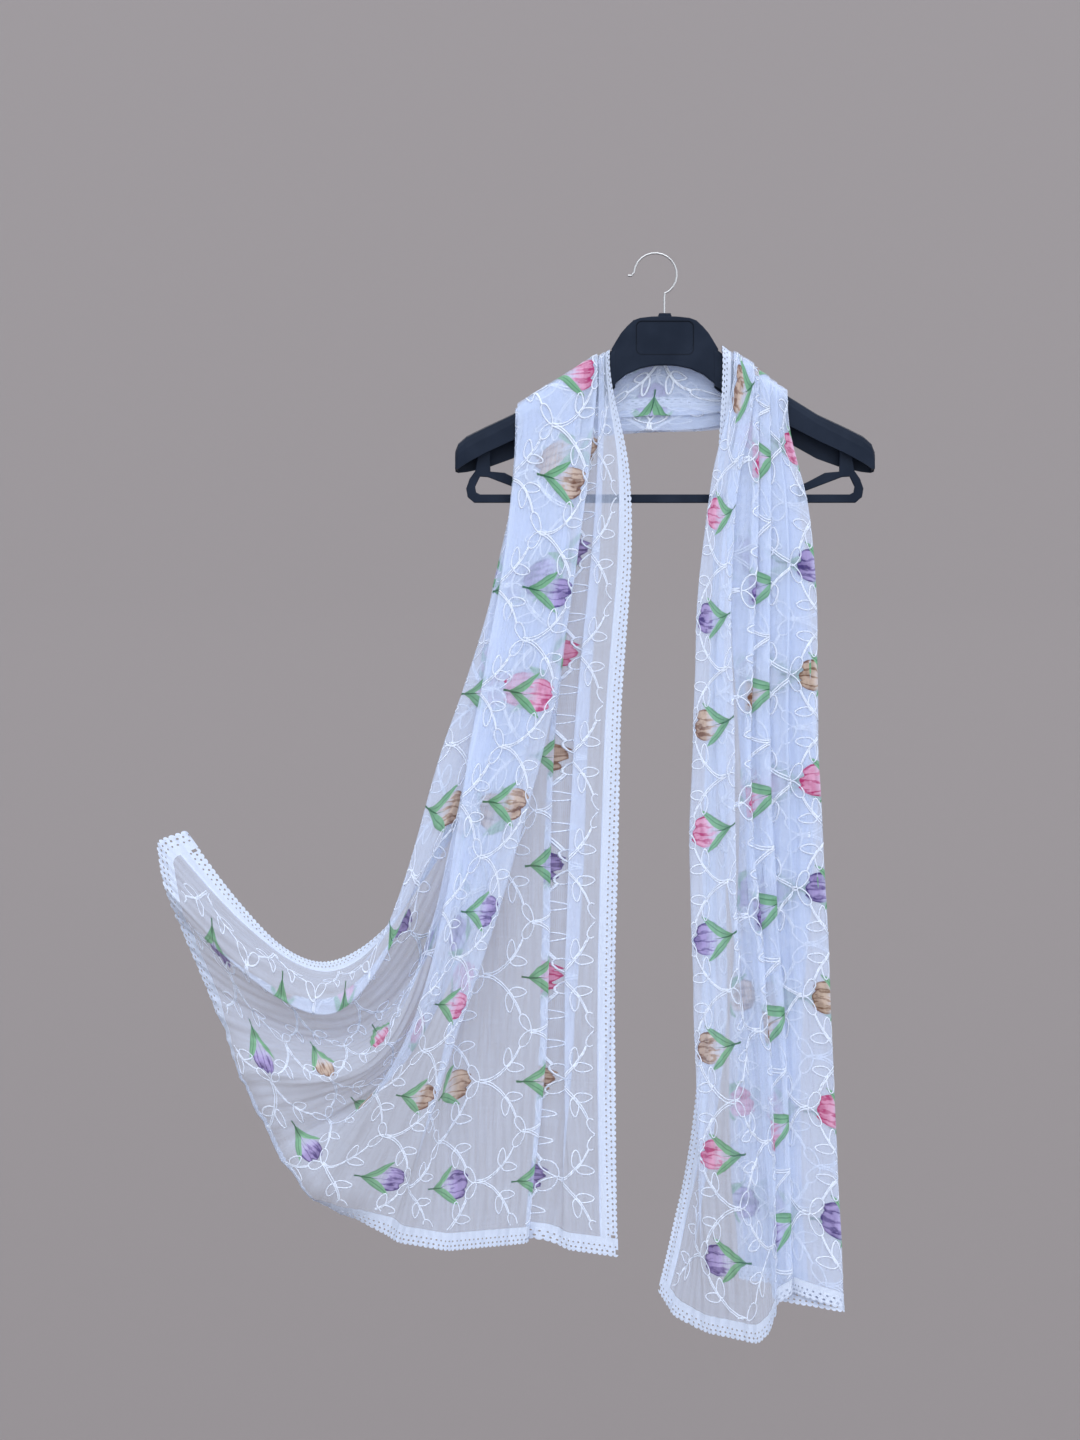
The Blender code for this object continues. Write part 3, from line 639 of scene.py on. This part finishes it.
def sprig_leaves(tree, reach, side, off):
    """Cover and darkness of the two leaves, lenses that splay from the stalk, one longer."""
    longer = times(tree, value_node(tree, "LESS_THAN", side, 0.0), LEAF_LONGER)
    length = plus(tree, longer, LEAF_LENGTH)
    share = value_node(tree, "DIVIDE", minus(tree, reach, LEAF_START), length, clamp=True)
    middle = times(tree, value_node(tree, "POWER", share, 1.55), LEAF_SPLAY)
    belly = value_node(tree, "SINE", times(tree, value_node(tree, "POWER", share, 1.1), math.pi))
    half = times(tree, value_node(tree, "POWER", value_node(tree, "MAXIMUM", belly, 0.0), 0.8), LEAF_HALF)
    from_middle = minus(tree, off, middle)
    inside = minus(tree, half, value_node(tree, "ABSOLUTE", from_middle))
    cover = ramp_between(tree, 0.0, 0.8, inside)
    rim = ramp_between(tree, 1.0, 5.5, from_middle)
    vein = minus(tree, 1.0, ramp_between(tree, 0.2, 1.1, value_node(tree, "ABSOLUTE", from_middle)))
    base = minus(tree, 1.0, ramp_between(tree, 0.1, 0.5, share))
    dark = value_node(tree, "MAXIMUM", times(tree, rim, 0.5), times(tree, base, 0.5))
    return cover, value_node(tree, "MAXIMUM", dark, times(tree, vein, 0.6))


def sprig_bloom(tree, where, reach, side, off):
    """Cover and depth of colour of the bloom: an egg with ragged petal tips, streaked from its base."""
    share = value_node(tree, "DIVIDE", minus(tree, reach, BLOOM_START), BLOOM_LENGTH, clamp=True)
    belly = value_node(tree, "SINE", times(tree, value_node(tree, "POWER", share, 1.12), math.pi))
    half = times(tree, value_node(tree, "POWER", value_node(tree, "MAXIMUM", belly, 0.0), 0.72), BLOOM_HALF)
    ragged = times(tree, noise(tree, where, 190.0, 2.0), 5.0)
    petal = value_node(tree, "ABSOLUTE", value_node(tree, "COSINE", times(tree, side, math.pi / PETAL_WIDE)))
    tip = plus(tree, times(tree, petal, 3.6), ragged)
    tip = plus(tree, tip, times(tree, plus(tree, side, 2.0), 0.25))
    before_tip = minus(tree, plus(tree, tip, BLOOM_TIP), reach)
    inside = value_node(tree, "MINIMUM", minus(tree, half, off), before_tip)
    cover = ramp_between(tree, 0.0, 0.7, inside)
    fan = value_node(tree, "DIVIDE", side, value_node(tree, "MAXIMUM", plus(tree, half, 4.0), 5.0))
    brush = noise(tree, stretched(tree, where, (50.0, 170.0, 1.0)), 1.0, 3.0)
    fan = plus(tree, times(tree, fan, 15.0), times(tree, brush, 13.0))
    streak = ramp_between(tree, 0.1, 1.0, value_node(tree, "SINE", fan))
    towards_tip = ramp_between(tree, 30.0, 60.0, reach)
    at_rim = minus(tree, 1.0, ramp_between(tree, 0.3, 3.2, inside))
    blotch = ramp_between(tree, 0.42, 0.66, noise(tree, where, 75.0, 3.0))
    depth = plus(tree, times(tree, streak, 0.42), times(tree, towards_tip, 0.42))
    depth = plus(tree, depth, times(tree, at_rim, 0.48))
    depth = plus(tree, depth, times(tree, blotch, 0.3), clamp=True)
    fade = ramp_between(tree, 24.0, 54.0, reach)
    ink = plus(tree, times(tree, streak, 0.42), plus(tree, fade, 0.14), clamp=True)
    return times(tree, cover, ink), depth


def tulip_print(tree, where, across, along):
    """The whole print's cover and colour."""
    reach, side, row = sprig_place(tree, where, across, along)
    off = value_node(tree, "ABSOLUTE", side)
    leaf, leaf_dark = sprig_leaves(tree, reach, side, off)
    bloom, bloom_depth = sprig_bloom(tree, where, reach, side, off)
    stalk_width = minus(tree, 1.75, times(tree, reach, 0.036))
    stalk = ramp_between(tree, 0.0, 0.7, minus(tree, stalk_width, off))
    stalk = times(tree, stalk, ramp_between(tree, 0.0, 2.0, reach))
    turn = value_node(tree, "FLOORED_MODULO", row, 3.0)
    dye = {}
    for part in ("pale", "deep"):
        purple, tan, pink = (getattr(each, part) for each in DYES)
        is_tan = value_node(tree, "COMPARE", turn, 1.0, 0.4)
        is_pink = value_node(tree, "COMPARE", turn, 2.0, 0.4)
        dye[part] = blend_colour(tree, is_pink, blend_colour(tree, is_tan, purple, tan), pink)
    petals = blend_colour(tree, bloom_depth, dye["pale"], dye["deep"])
    green = blend_colour(tree, leaf_dark, LEAF_PALE, LEAF_DEEP)
    green = blend_colour(tree, stalk, green, LEAF_DEEP)
    greenery = value_node(tree, "MAXIMUM", leaf, stalk)
    colour = blend_colour(tree, greenery, petals, green)
    on_body = value_node(tree, "GREATER_THAN", across, 62.0)
    cover = times(tree, value_node(tree, "MAXIMUM", greenery, bloom), on_body)
    return cover, colour


# %% The chiffon
COVER = 0.34                # of the view behind it that one layer hides
CLOTH_WHITE = (0.64, 0.73, 0.96)


def make_chiffon():
    made = clean_material("printed_chiffon", CLOTH_WHITE, 0.85)
    tree = made.node_tree
    shader = tree.nodes["Principled BSDF"]
    shader.inputs["Sheen Weight"].default_value = 0.25
    shader.inputs["Specular IOR Level"].default_value = 0.2
    where, across, along = flat_lengths(tree)
    cover, colour = tulip_print(tree, where, across, along)
    slub_long = noise(tree, stretched(tree, where, (420.0, 25.0, 1.0)), 1.0, 2.0)
    slub_wide = noise(tree, stretched(tree, where, (30.0, 520.0, 1.0)), 1.0, 2.0)
    weave_a = value_node(tree, "SINE", times(tree, across, 2 * math.pi / 0.9))
    weave_b = value_node(tree, "SINE", times(tree, along, 2 * math.pi / 0.9))
    weave = times(tree, plus(tree, weave_a, weave_b), 0.045)
    slubs = plus(tree, slub_long, times(tree, slub_wide, 0.5))
    thick = plus(tree, weave, times(tree, minus(tree, slubs, 0.75), 0.24))
    bare = plus(tree, thick, COVER, clamp=True)
    alpha = plus(tree, bare, times(tree, cover, 0.5), clamp=True)
    tree.links.new(blend_colour(tree, cover, CLOTH_WHITE, colour), shader.inputs["Base Color"])
    tree.links.new(alpha, shader.inputs["Alpha"])
    crimp = tree.nodes.new("ShaderNodeBump")
    crimp.inputs["Strength"].default_value = 0.25
    crimp.inputs["Distance"].default_value = 0.0004
    tree.links.new(plus(tree, weave, slubs), crimp.inputs["Height"])
    tree.links.new(crimp.outputs[0], shader.inputs["Normal"])
    return made


chiffon = make_chiffon()
print("chiffon nodes", len(chiffon.node_tree.nodes))

# %% [markdown]
# The cloth has slipped over the arms unevenly. Its outer columns of flowers hang lower than the inner
# ones on the left, and higher on the right. The fold lines stay as they are, and the print and the
# embroidery are moved along them by the amounts in a table, which fall to nothing at the hems.

# %% How far the cloth has slipped
Slip = namedtuple("Slip", "along edge second third rest")
SLIP_AT = (120.0, 201.0, 318.0, 416.0)
SLIPS = (
    Slip(0, 0, 0, 0, 0),
    Slip(150, 0, 0, 38, 36),
    Slip(345, 0, 0, 60, 62),
    Slip(470, 0, 0, 56, 58),
    Slip(590, 0, 0, 50, 42),
    Slip(700, 0, 0, 50, 28),
    Slip(830, 0, 0, 41, -3),
    Slip(955, -4, -4, 30, -20),
    Slip(1005, 12, 12, 40, 10),
    Slip(1030, 32, 32, 50, 20),
    Slip(1058, 50, 50, 64, 46),
    Slip(1126, 28, 50, 106, 106),
    Slip(1230, -10, 60, 88, 88),
    Slip(1340, -10, 26, 66, 66),
    Slip(1470, -12, 20, 50, 50),
    Slip(1590, -12, 20, 43, 43),
    Slip(1810, 0, 17, 43, 43),
    Slip(2040, 5, 10, 26, 26),
    Slip(2150, 0, 0, 0, 0),
)


def slipped(across, along):
    """How much further along the cloth the pattern reads than the fold lines do, in millimetres."""
    at = column(SLIPS, "along")
    total = np.interp(along, at, column(SLIPS, "edge"))
    for before, after, name in zip(SLIP_AT, SLIP_AT[1:], ("second", "third", "rest")):
        weight = smooth_step((across - before) / (after - before))
        total = total * (1 - weight) + np.interp(along, at, column(SLIPS, name)) * weight
    return total


def unslipped(across, pattern_along):
    """The along of the fold lines where the pattern has the given one."""
    along = np.array(pattern_along, float)
    for turn in range(24):
        along += 0.5 * (pattern_along - along - slipped(across, along))
    return along


# %% The three sheets of chiffon
def mark_flat_lengths(mesh, places):
    """Keep each vertex's flat lengths, slip and all, as a UV map in metres."""
    places = np.array(places, float)
    places[:, 1] += slipped(places[:, 0], places[:, 1])
    layer = mesh.uv_layers.new(name="flat")
    corners = np.zeros(len(mesh.loops), dtype=np.int32)
    mesh.loops.foreach_get("vertex_index", corners)
    layer.data.foreach_set("uv", (np.asarray(places, float)[corners] * MM).ravel())


def grid_faces(rows, columns):
    first = (np.arange(rows - 1)[:, None] * columns + np.arange(columns - 1)[None, :]).ravel()
    return np.stack([first, first + columns, first + columns + 1, first + 1], axis=1)


def chiffon_sheet(stretch):
    """The chiffon inside the edging, on every point of the fine grid."""
    sheet = sheets[stretch]
    first = LACE_WIDTH if stretch == "left" else sheet.along[0]
    last = sheet.along[-1] - (LACE_WIDTH if stretch == "right" else 0.0)
    across = np.linspace(LACE_WIDTH - 1.0, CLOTH_WIDTH - LACE_WIDTH + 1.0, 361)
    along = np.linspace(first, last, int((last - first) / STEP_ALONG[stretch]) + 1)
    places = np.stack(np.meshgrid(across, along, indexing="ij"), axis=-1).reshape(-1, 2)
    points = on_cloth(stretch, places[:, 0], places[:, 1])
    made = new_mesh_object("chiffon_" + stretch, points, grid_faces(len(across), len(along)), chiffon)
    mark_flat_lengths(made.data, places)
    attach(made, "root")
    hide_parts("stole_" + stretch)
    return made


chiffon_sheets = {stretch: chiffon_sheet(stretch) for stretch in STRETCHES}
for made in chiffon_sheets.values():
    print(made.name, len(made.data.polygons), "faces")

# %% [markdown]
# ## Chain-stitch embroidery
# A machine has stitched a trellis of leafy stems in thick white thread. Joints lie in half-drop rows,
# one just ahead of every tulip and one half way between. From each joint two doubled stems curve away, each
# with a pair of leaf loops and a third loop that reaches the next joint. Each stem is a path in flat
# lengths, so one recipe serves the whole cloth. The thread is a low ribbon that stands out on both
# faces of the sheer cloth, as chain stitch does.

# %% One stem and its leaves, from a joint
HALF_ACROSS, HALF_ALONG = PRINT_ACROSS / 2, PRINT_ALONG / 2
STEM_KNOTS = ((0.0, 0.0), (11.0, 1.6), (22.0, 7.5), (32.0, 16.5), (41.0, 28.0), (46.5, 38.5))
LOOP_LONG, LOOP_WIDE = 20.5, 11.0
DOUBLE_GAP = 2.8
THREAD_WIDE, THREAD_HIGH = 1.65, 0.4
JOINT_AHEAD = 6.0           # from a tulip's tip to its joint


def smooth_line(knots, count):
    """Evenly spread points on a smooth curve through the knots."""
    knots = np.array(knots, float)
    padded = np.vstack([2 * knots[0] - knots[1], knots, 2 * knots[-1] - knots[-2]])
    points = []
    for k in range(1, len(padded) - 2):
        a, b, c, d = padded[k - 1:k + 3]
        u = np.linspace(0, 1, 8, endpoint=False)[:, None]
        bend, twist = 2 * a - 5 * b + 4 * c - d, 3 * b - a - 3 * c + d
        points.append(0.5 * (2 * b + (c - a) * u + bend * u ** 2 + twist * u ** 3))
    line = np.vstack([*points, padded[-2][None]])
    length = np.concatenate([[0], np.cumsum(np.linalg.norm(np.diff(line, axis=0), axis=1))])
    at = np.linspace(0, length[-1], count)
    return np.stack([np.interp(at, length, line[:, k]) for k in range(2)], axis=-1)


def leaf_loop(start, degrees, size=1.0):
    """A closed, pointed loop of thread that leaves start at an angle."""
    turn = np.linspace(0, 1, 15)
    reach = LOOP_LONG * size * (1 - np.cos(2 * math.pi * turn)) / 2
    side = LOOP_WIDE * size / 2 * np.sin(2 * math.pi * turn) * (0.8 + 0.2 * np.cos(2 * math.pi * turn)) * 1.1
    angle = math.radians(degrees)
    return np.stack([
        start[0] + reach * math.cos(angle) - side * math.sin(angle),
        start[1] + reach * math.sin(angle) + side * math.cos(angle),
    ], axis=-1)


def side_by_side(line, gap):
    """Two lines, gap apart, that close up at the far end."""
    along = np.gradient(line, axis=0)
    along /= np.linalg.norm(along, axis=1)[:, None]
    out = np.stack([-along[:, 1], along[:, 0]], axis=-1)
    width = gap / 2 * np.linspace(1.0, 0.35, len(line))[:, None]
    return [line + out * width, line - out * width]


def stem_paths():
    """The thread paths of one stem, in (towards the first edge, along) from its joint."""
    line = smooth_line(STEM_KNOTS, 17)
    split = np.array(STEM_KNOTS[3])
    end = np.array(STEM_KNOTS[-1])
    to_joint = np.array([HALF_ACROSS, HALF_ALONG]) - end
    heading = math.degrees(math.atan2(to_joint[1], to_joint[0]))
    size = float(np.linalg.norm(to_joint)) / LOOP_LONG
    loops = [leaf_loop(split, 88), leaf_loop(split, -4), leaf_loop(end, heading, size)]
    return [*side_by_side(line, DOUBLE_GAP), *loops]


one_stem = stem_paths()
print("paths in a stem", len(one_stem), "points", sum(len(path) for path in one_stem))

# %% The whole trellis, in flat lengths
EDGE_ROOM = 3.0             # between thread and edging


def trellis():
    """Every thread path on the cloth, in flat lengths, with a little unevenness of the hand-guided hoop."""
    random = np.random.default_rng(11)
    paths = []
    for column_number in range(-1, 15):
        for row in range(-2, 42):
            if (column_number + row) % 2 == 0:
                continue
            joint_across = FIRST_TIP - JOINT_AHEAD + (column_number - 1) * HALF_ACROSS
            joint = np.array([joint_across, FIRST_ROW + row * HALF_ALONG])
            joint = joint + random.normal(0, 0.7, 2)
            for side in (1.0, -1.0):
                for path in one_stem:
                    wobble = random.normal(0, 0.25, 2)
                    placed = joint + (path + wobble) * (-1.0, side)
                    placed[:, 1] = unslipped(placed[:, 0], placed[:, 1])
                    paths.append(placed)
    return paths


thread_paths = trellis()
print("thread paths", len(thread_paths))

# %% Thread on the cloth
thread_white = clean_material("white_thread", (0.75, 0.81, 0.97), 0.55)
thread_white.node_tree.nodes["Principled BSDF"].inputs["Sheen Weight"].default_value = 0.3


def add_stitch_bump(made):
    """The small slanted stitches of the thread, as bump."""
    tree = made.node_tree
    where, across, along = flat_lengths(tree)
    slant = plus(tree, across, times(tree, along, 0.8))
    stitch = value_node(tree, "SINE", times(tree, slant, 2 * math.pi / 1.6))
    bump = tree.nodes.new("ShaderNodeBump")
    bump.inputs["Strength"].default_value = 0.5
    bump.inputs["Distance"].default_value = 0.0005
    tree.links.new(stitch, bump.inputs["Height"])
    tree.links.new(bump.outputs[0], tree.nodes["Principled BSDF"].inputs["Normal"])


add_stitch_bump(thread_white)


def inside_runs(path, low, high):
    """The parts of a path that lie on one stretch, inside its edging."""
    keep = (
        (path[:, 0] > LACE_WIDTH + EDGE_ROOM) & (path[:, 0] < CLOTH_WIDTH - LACE_WIDTH - EDGE_ROOM)
        & (path[:, 1] >= low) & (path[:, 1] <= high)
    )
    edges = np.flatnonzero(np.diff(np.concatenate([[0], keep.astype(int), [0]])))
    return [path[a:b] for a, b in zip(edges[::2], edges[1::2]) if b - a >= 2]


def thread_on(stretch):
    """All the thread of one stretch, as four-sided ribbons half sunk in the cloth."""
    low, high = STRETCHES[stretch]
    low = max(low, LACE_WIDTH + EDGE_ROOM)
    high = min(high, CLOTH_LENGTH - LACE_WIDTH - EDGE_ROOM)
    places, lifts, faces = [], [], []
    start = 0
    for path in thread_paths:
        for run in inside_runs(path, low, high):
            heading = np.gradient(run, axis=0)
            heading /= np.maximum(np.linalg.norm(heading, axis=1)[:, None], 1e-9)
            out = np.stack([-heading[:, 1], heading[:, 0]], axis=-1) * THREAD_WIDE / 2
            places.append(np.stack([run - out, run, run + out, run], axis=1).reshape(-1, 2))
            lifts.append(np.tile([0.0, THREAD_HIGH, 0.0, -THREAD_HIGH], len(run)))
            for k in range(len(run) - 1):
                here, there = start + 4 * k, start + 4 * k + 4
                for side in range(4):
                    after = (side + 1) % 4
                    faces.append((here + side, here + after, there + after, there + side))
            start += 4 * len(run)
    places = np.vstack(places)
    points = on_cloth(stretch, places[:, 0], places[:, 1], np.concatenate(lifts) * MM)
    made = new_mesh_object("embroidery_" + stretch, points, faces, thread_white)
    mark_flat_lengths(made.data, places)
    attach(made, "root")
    return made


embroidery = {stretch: thread_on(stretch) for stretch in STRETCHES}
for made in embroidery.values():
    print(made.name, len(made.data.polygons), "faces")

# %% [markdown]
# ## The crochet edging
# A white cotton edging about 20 mm wide is sewn along all four sides. From the chiffon outwards it has a
# plain tape, two rows of small eyelets half a step apart, and scallops. One repeat, 6 mm long, is drawn
# once from square cells with round holes. A loop sets it side by side along an edge, and the mapping of
# the cloth carries it through the folds. The rims of the holes stand up, as crochet stitches do.

# %% One repeat of the edging
PITCH = 6.0
TAPE = 6.5                  # the plain tape next to the chiffon
CELL = 5.1                  # one row of eyelets
SCALLOP = 2.2


def eyelet_cell(start, low, hole_long, hole_wide):
    """A cell with an oval hole: points (along, out, lift) and faces."""
    frame_shares = ((0, 0), (0.5, 0), (1, 0), (1, 0.5), (1, 1), (0.5, 1), (0, 1), (0, 0.5))
    points, faces = [], []
    for x, y in frame_shares:
        points.append((start + x * PITCH, low + y * CELL, 0.1))
    for share, lift in ((1.45, 0.55), (1.0, 0.0)):
        for x, y in frame_shares:
            angle = math.atan2(y - 0.5, x - 0.5)
            points.append((
                start + PITCH / 2 + hole_long / 2 * share * math.cos(angle),
                low + CELL / 2 + hole_wide / 2 * share * math.sin(angle),
                lift,
            ))
    for ring in (0, 8):
        for k in range(8):
            after = (k + 1) % 8
            faces.append((ring + k, ring + after, ring + 8 + after, ring + 8 + k))
    return points, faces


def strip_cell(start, lows, lifts):
    """Two columns of plain quads between the given lines: the tape, or the scallop's foot."""
    points = [(start + x * PITCH, low, lift) for low, lift in zip(lows, lifts) for x in (0, 0.5, 1)]
    faces = []
    for row in range(len(lows) - 1):
        for k in range(2):
            here = 3 * row + k
            faces.append((here, here + 1, here + 4, here + 3))
    return points, faces


def scallop_cell(start, low):
    """One round scallop on the outer line."""
    shares = (0, 0.14, 0.32, 0.5, 0.68, 0.86, 1)
    points = [(start + share * PITCH, low, 0.1) for share in shares]
    for share in shares:
        rise = SCALLOP * math.sin(math.pi * share) ** 0.6
        points.append((start + share * PITCH, low + 0.5 + rise, 0.35))
    return points, [(k, k + 1, k + 8, k + 7) for k in range(6)]


def lace_repeat(start):
    """Every point and face of one repeat that begins at start."""
    points, faces = [], []
    rows = (
        strip_cell(start, (0.0, 1.0, 2.2, 3.4, 4.6, 5.6, TAPE), (0.0, 0.35, 0.0, 0.35, 0.0, 0.35, 0.1)),
        eyelet_cell(start, TAPE, 2.1, 1.9),
        eyelet_cell(start + PITCH / 2, TAPE + CELL, 2.5, 2.2),
        scallop_cell(start, TAPE + 2 * CELL),
    )
    for more_points, more_faces in rows:
        faces += [tuple(len(points) + k for k in face) for face in more_faces]
        points += more_points
    return points, faces


repeat_points, repeat_faces = lace_repeat(0.0)
print("a repeat has", len(repeat_points), "points and", len(repeat_faces), "faces")

# %% The edging's finish
cotton_lace = clean_material("crochet_cotton", (0.74, 0.80, 1.0), 0.8)


def add_crochet_bump_and_painted_shade(made):
    tree = made.node_tree
    where, across, along = flat_lengths(tree)
    stitch_a = value_node(tree, "SINE", times(tree, across, 2 * math.pi / 1.25))
    stitch_b = value_node(tree, "SINE", times(tree, along, 2 * math.pi / 1.25))
    stitches = times(tree, stitch_a, stitch_b)
    fuzz = noise(tree, where, 900.0, 2.0)
    height = plus(tree, stitches, fuzz)
    bump = tree.nodes.new("ShaderNodeBump")
    bump.inputs["Strength"].default_value = 0.6
    bump.inputs["Distance"].default_value = 0.0005
    tree.links.new(height, bump.inputs["Height"])
    tree.links.new(bump.outputs[0], tree.nodes["Principled BSDF"].inputs["Normal"])
    # Painted shade: the low parts of the stitch pattern, where the bump makes grooves, are coloured a darker
    # blue-grey.
    painted_groove_shade = ramp_between(tree, -1.2, 0.4, stitches)
    tree.links.new(
        blend_colour(tree, painted_groove_shade, (0.52, 0.58, 0.76), (0.72, 0.79, 0.97)),
        tree.nodes["Principled BSDF"].inputs["Base Color"],
    )


add_crochet_bump_and_painted_shade(cotton_lace)


# %% Edging on the cloth
def edge_place(edge, run, out):
    """Flat lengths of a point on an edging, from its place along the edge and outwards."""
    if edge == "inner":
        return np.stack([LACE_WIDTH - out, run], axis=-1)
    if edge == "outer":
        return np.stack([CLOTH_WIDTH - LACE_WIDTH + out, run], axis=-1)
    if edge == "hem_left":
        return np.stack([run, LACE_WIDTH - out], axis=-1)
    return np.stack([run, CLOTH_LENGTH - LACE_WIDTH + out], axis=-1)


def lace_strip(name, edge, stretch, low, high, node):
    """The edging of one edge between two places along it."""
    count = int(round((high - low) / PITCH))
    scale = (high - low) / (count * PITCH)
    pattern = np.array(repeat_points)
    starts = np.arange(count)[:, None] * PITCH
    run = low + (pattern[None, :, 0] + starts) * scale
    run = np.clip(run, low, high).ravel()
    out = np.tile(pattern[:, 1], count) * LACE_WIDTH / (TAPE + 2 * CELL + 0.5 + SCALLOP)
    lift = np.tile(pattern[:, 2], count) * MM
    places = edge_place(edge, run, out)
    points = on_cloth(stretch, places[:, 0], places[:, 1], lift)
    faces = (np.array(repeat_faces)[None] + (np.arange(count) * len(pattern))[:, None, None]).reshape(-1, 4)
    made = new_mesh_object(name, points, faces, cotton_lace)
    mark_flat_lengths(made.data, places)
    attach(made, "root")
    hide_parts(node)
    return made


edging = {stretch: [] for stretch in STRETCHES}
for stretch, (low, high) in STRETCHES.items():
    low = LACE_WIDTH if stretch == "left" else low
    high = CLOTH_LENGTH - LACE_WIDTH if stretch == "right" else high
    for edge in ("inner", "outer"):
        node = "lace_" + edge + "_" + stretch
        edging[stretch].append(lace_strip("crochet_" + edge + "_" + stretch, edge, stretch, low, high, node))
for stretch in ("left", "right"):
    name = "hem_" + stretch
    edging[stretch].append(lace_strip("crochet_" + name, name, stretch, 0.0, CLOTH_WIDTH, "lace_" + name))
print("edging faces", sum(len(made.data.polygons) for group in edging.values() for made in group))

# %% What each sheet is
for stretch, made in chiffon_sheets.items():
    low, high = STRETCHES[stretch]
    print(made.name, "is", CLOTH_WIDTH, "by", high - low, "mm flat")

# %% [markdown]
# ## The hanger
# The solids of the hanger already have its form, so they keep it and only get finishes. Moulded plastic
# has a fine, slightly uneven grain with a dull gloss, and a mottle of deeper and paler navy at random.
# A near-black line of painted shade runs round the head's sunken panel. The hook is drawn steel wire.

# %% Moulded plastic and steel
PANEL_MIDDLE, PANEL_HALF, PANEL_ROUND = (10.0, -88.0), (30.0, 17.5), 6.0


def painted_panel_groove_shade(tree, place):
    """1 on the rounded line round the head's sunken panel, where painted shade goes, and 0 elsewhere."""
    parts = tree.nodes.new("ShaderNodeSeparateXYZ")
    tree.links.new(place, parts.inputs[0])
    corner = []
    for output, middle, half in zip((parts.outputs[0], parts.outputs[2]), PANEL_MIDDLE, PANEL_HALF):
        away = minus(tree, times(tree, output, 1000.0), middle)
        over = minus(tree, value_node(tree, "ABSOLUTE", away), half - PANEL_ROUND)
        corner.append(value_node(tree, "MAXIMUM", over, 0.0))
    squares = [times(tree, each, each) for each in corner]
    distance = minus(tree, value_node(tree, "SQRT", plus(tree, *squares)), PANEL_ROUND)
    return minus(tree, 1.0, ramp_between(tree, 0.2, 1.0, value_node(tree, "ABSOLUTE", distance)))


NAVY_DEEP, NAVY_WORN = (0.0085, 0.0135, 0.0265), (0.0150, 0.0215, 0.0385)
STEEL_DULL, STEEL_BRIGHT = (0.36, 0.36, 0.38), (0.58, 0.58, 0.60)


def moulded_plastic():
    made = clean_material("moulded_navy_plastic", (0.013, 0.022, 0.046), 0.45)
    tree = made.node_tree
    shader = tree.nodes["Principled BSDF"]
    shader.inputs["Specular IOR Level"].default_value = 0.06
    place = tree.nodes.new("ShaderNodeTexCoord").outputs["Object"]
    mottle = noise(tree, place, 26.0, 4.0)
    grain = noise(tree, place, 2600.0, 2.0)
    tone = blend_colour(tree, ramp_between(tree, 0.3, 0.75, mottle), NAVY_DEEP, NAVY_WORN)
    # Painted shade: a near-black line round the head's sunken panel, drawn where the groove at its rim would
    # lie in shade.
    painted_groove_shade = painted_panel_groove_shade(tree, place)
    dark = times(tree, painted_groove_shade, 0.6)
    tree.links.new(blend_colour(tree, dark, tone, (0.002, 0.003, 0.006)), shader.inputs["Base Color"])
    rough = plus(tree, times(tree, mottle, 0.22), 0.33)
    tree.links.new(rough, shader.inputs["Roughness"])
    bump = tree.nodes.new("ShaderNodeBump")
    bump.inputs["Strength"].default_value = 0.22
    bump.inputs["Distance"].default_value = 0.0003
    tree.links.new(grain, bump.inputs["Height"])
    tree.links.new(bump.outputs[0], shader.inputs["Normal"])
    return made


def drawn_steel():
    made = clean_material("drawn_steel", (0.66, 0.66, 0.68), 0.28, 1.0)
    tree = made.node_tree
    shader = tree.nodes["Principled BSDF"]
    place = tree.nodes.new("ShaderNodeTexCoord").outputs["Object"]
    drawn = noise(tree, place, 900.0, 3.0)
    rough = plus(tree, times(tree, drawn, 0.25), 0.16)
    tree.links.new(rough, shader.inputs["Roughness"])
    tone = blend_colour(tree, drawn, STEEL_DULL, STEEL_BRIGHT)
    tree.links.new(tone, shader.inputs["Base Color"])
    return made


def dress(node, finish):
    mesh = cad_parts[node].data
    mesh.materials.clear()
    mesh.materials.append(finish)
    print(node, "is", finish.name)


navy = moulded_plastic()
dress("hanger_body", navy)
dress("hanger_bar", navy)
dress("hanger_hook", drawn_steel())
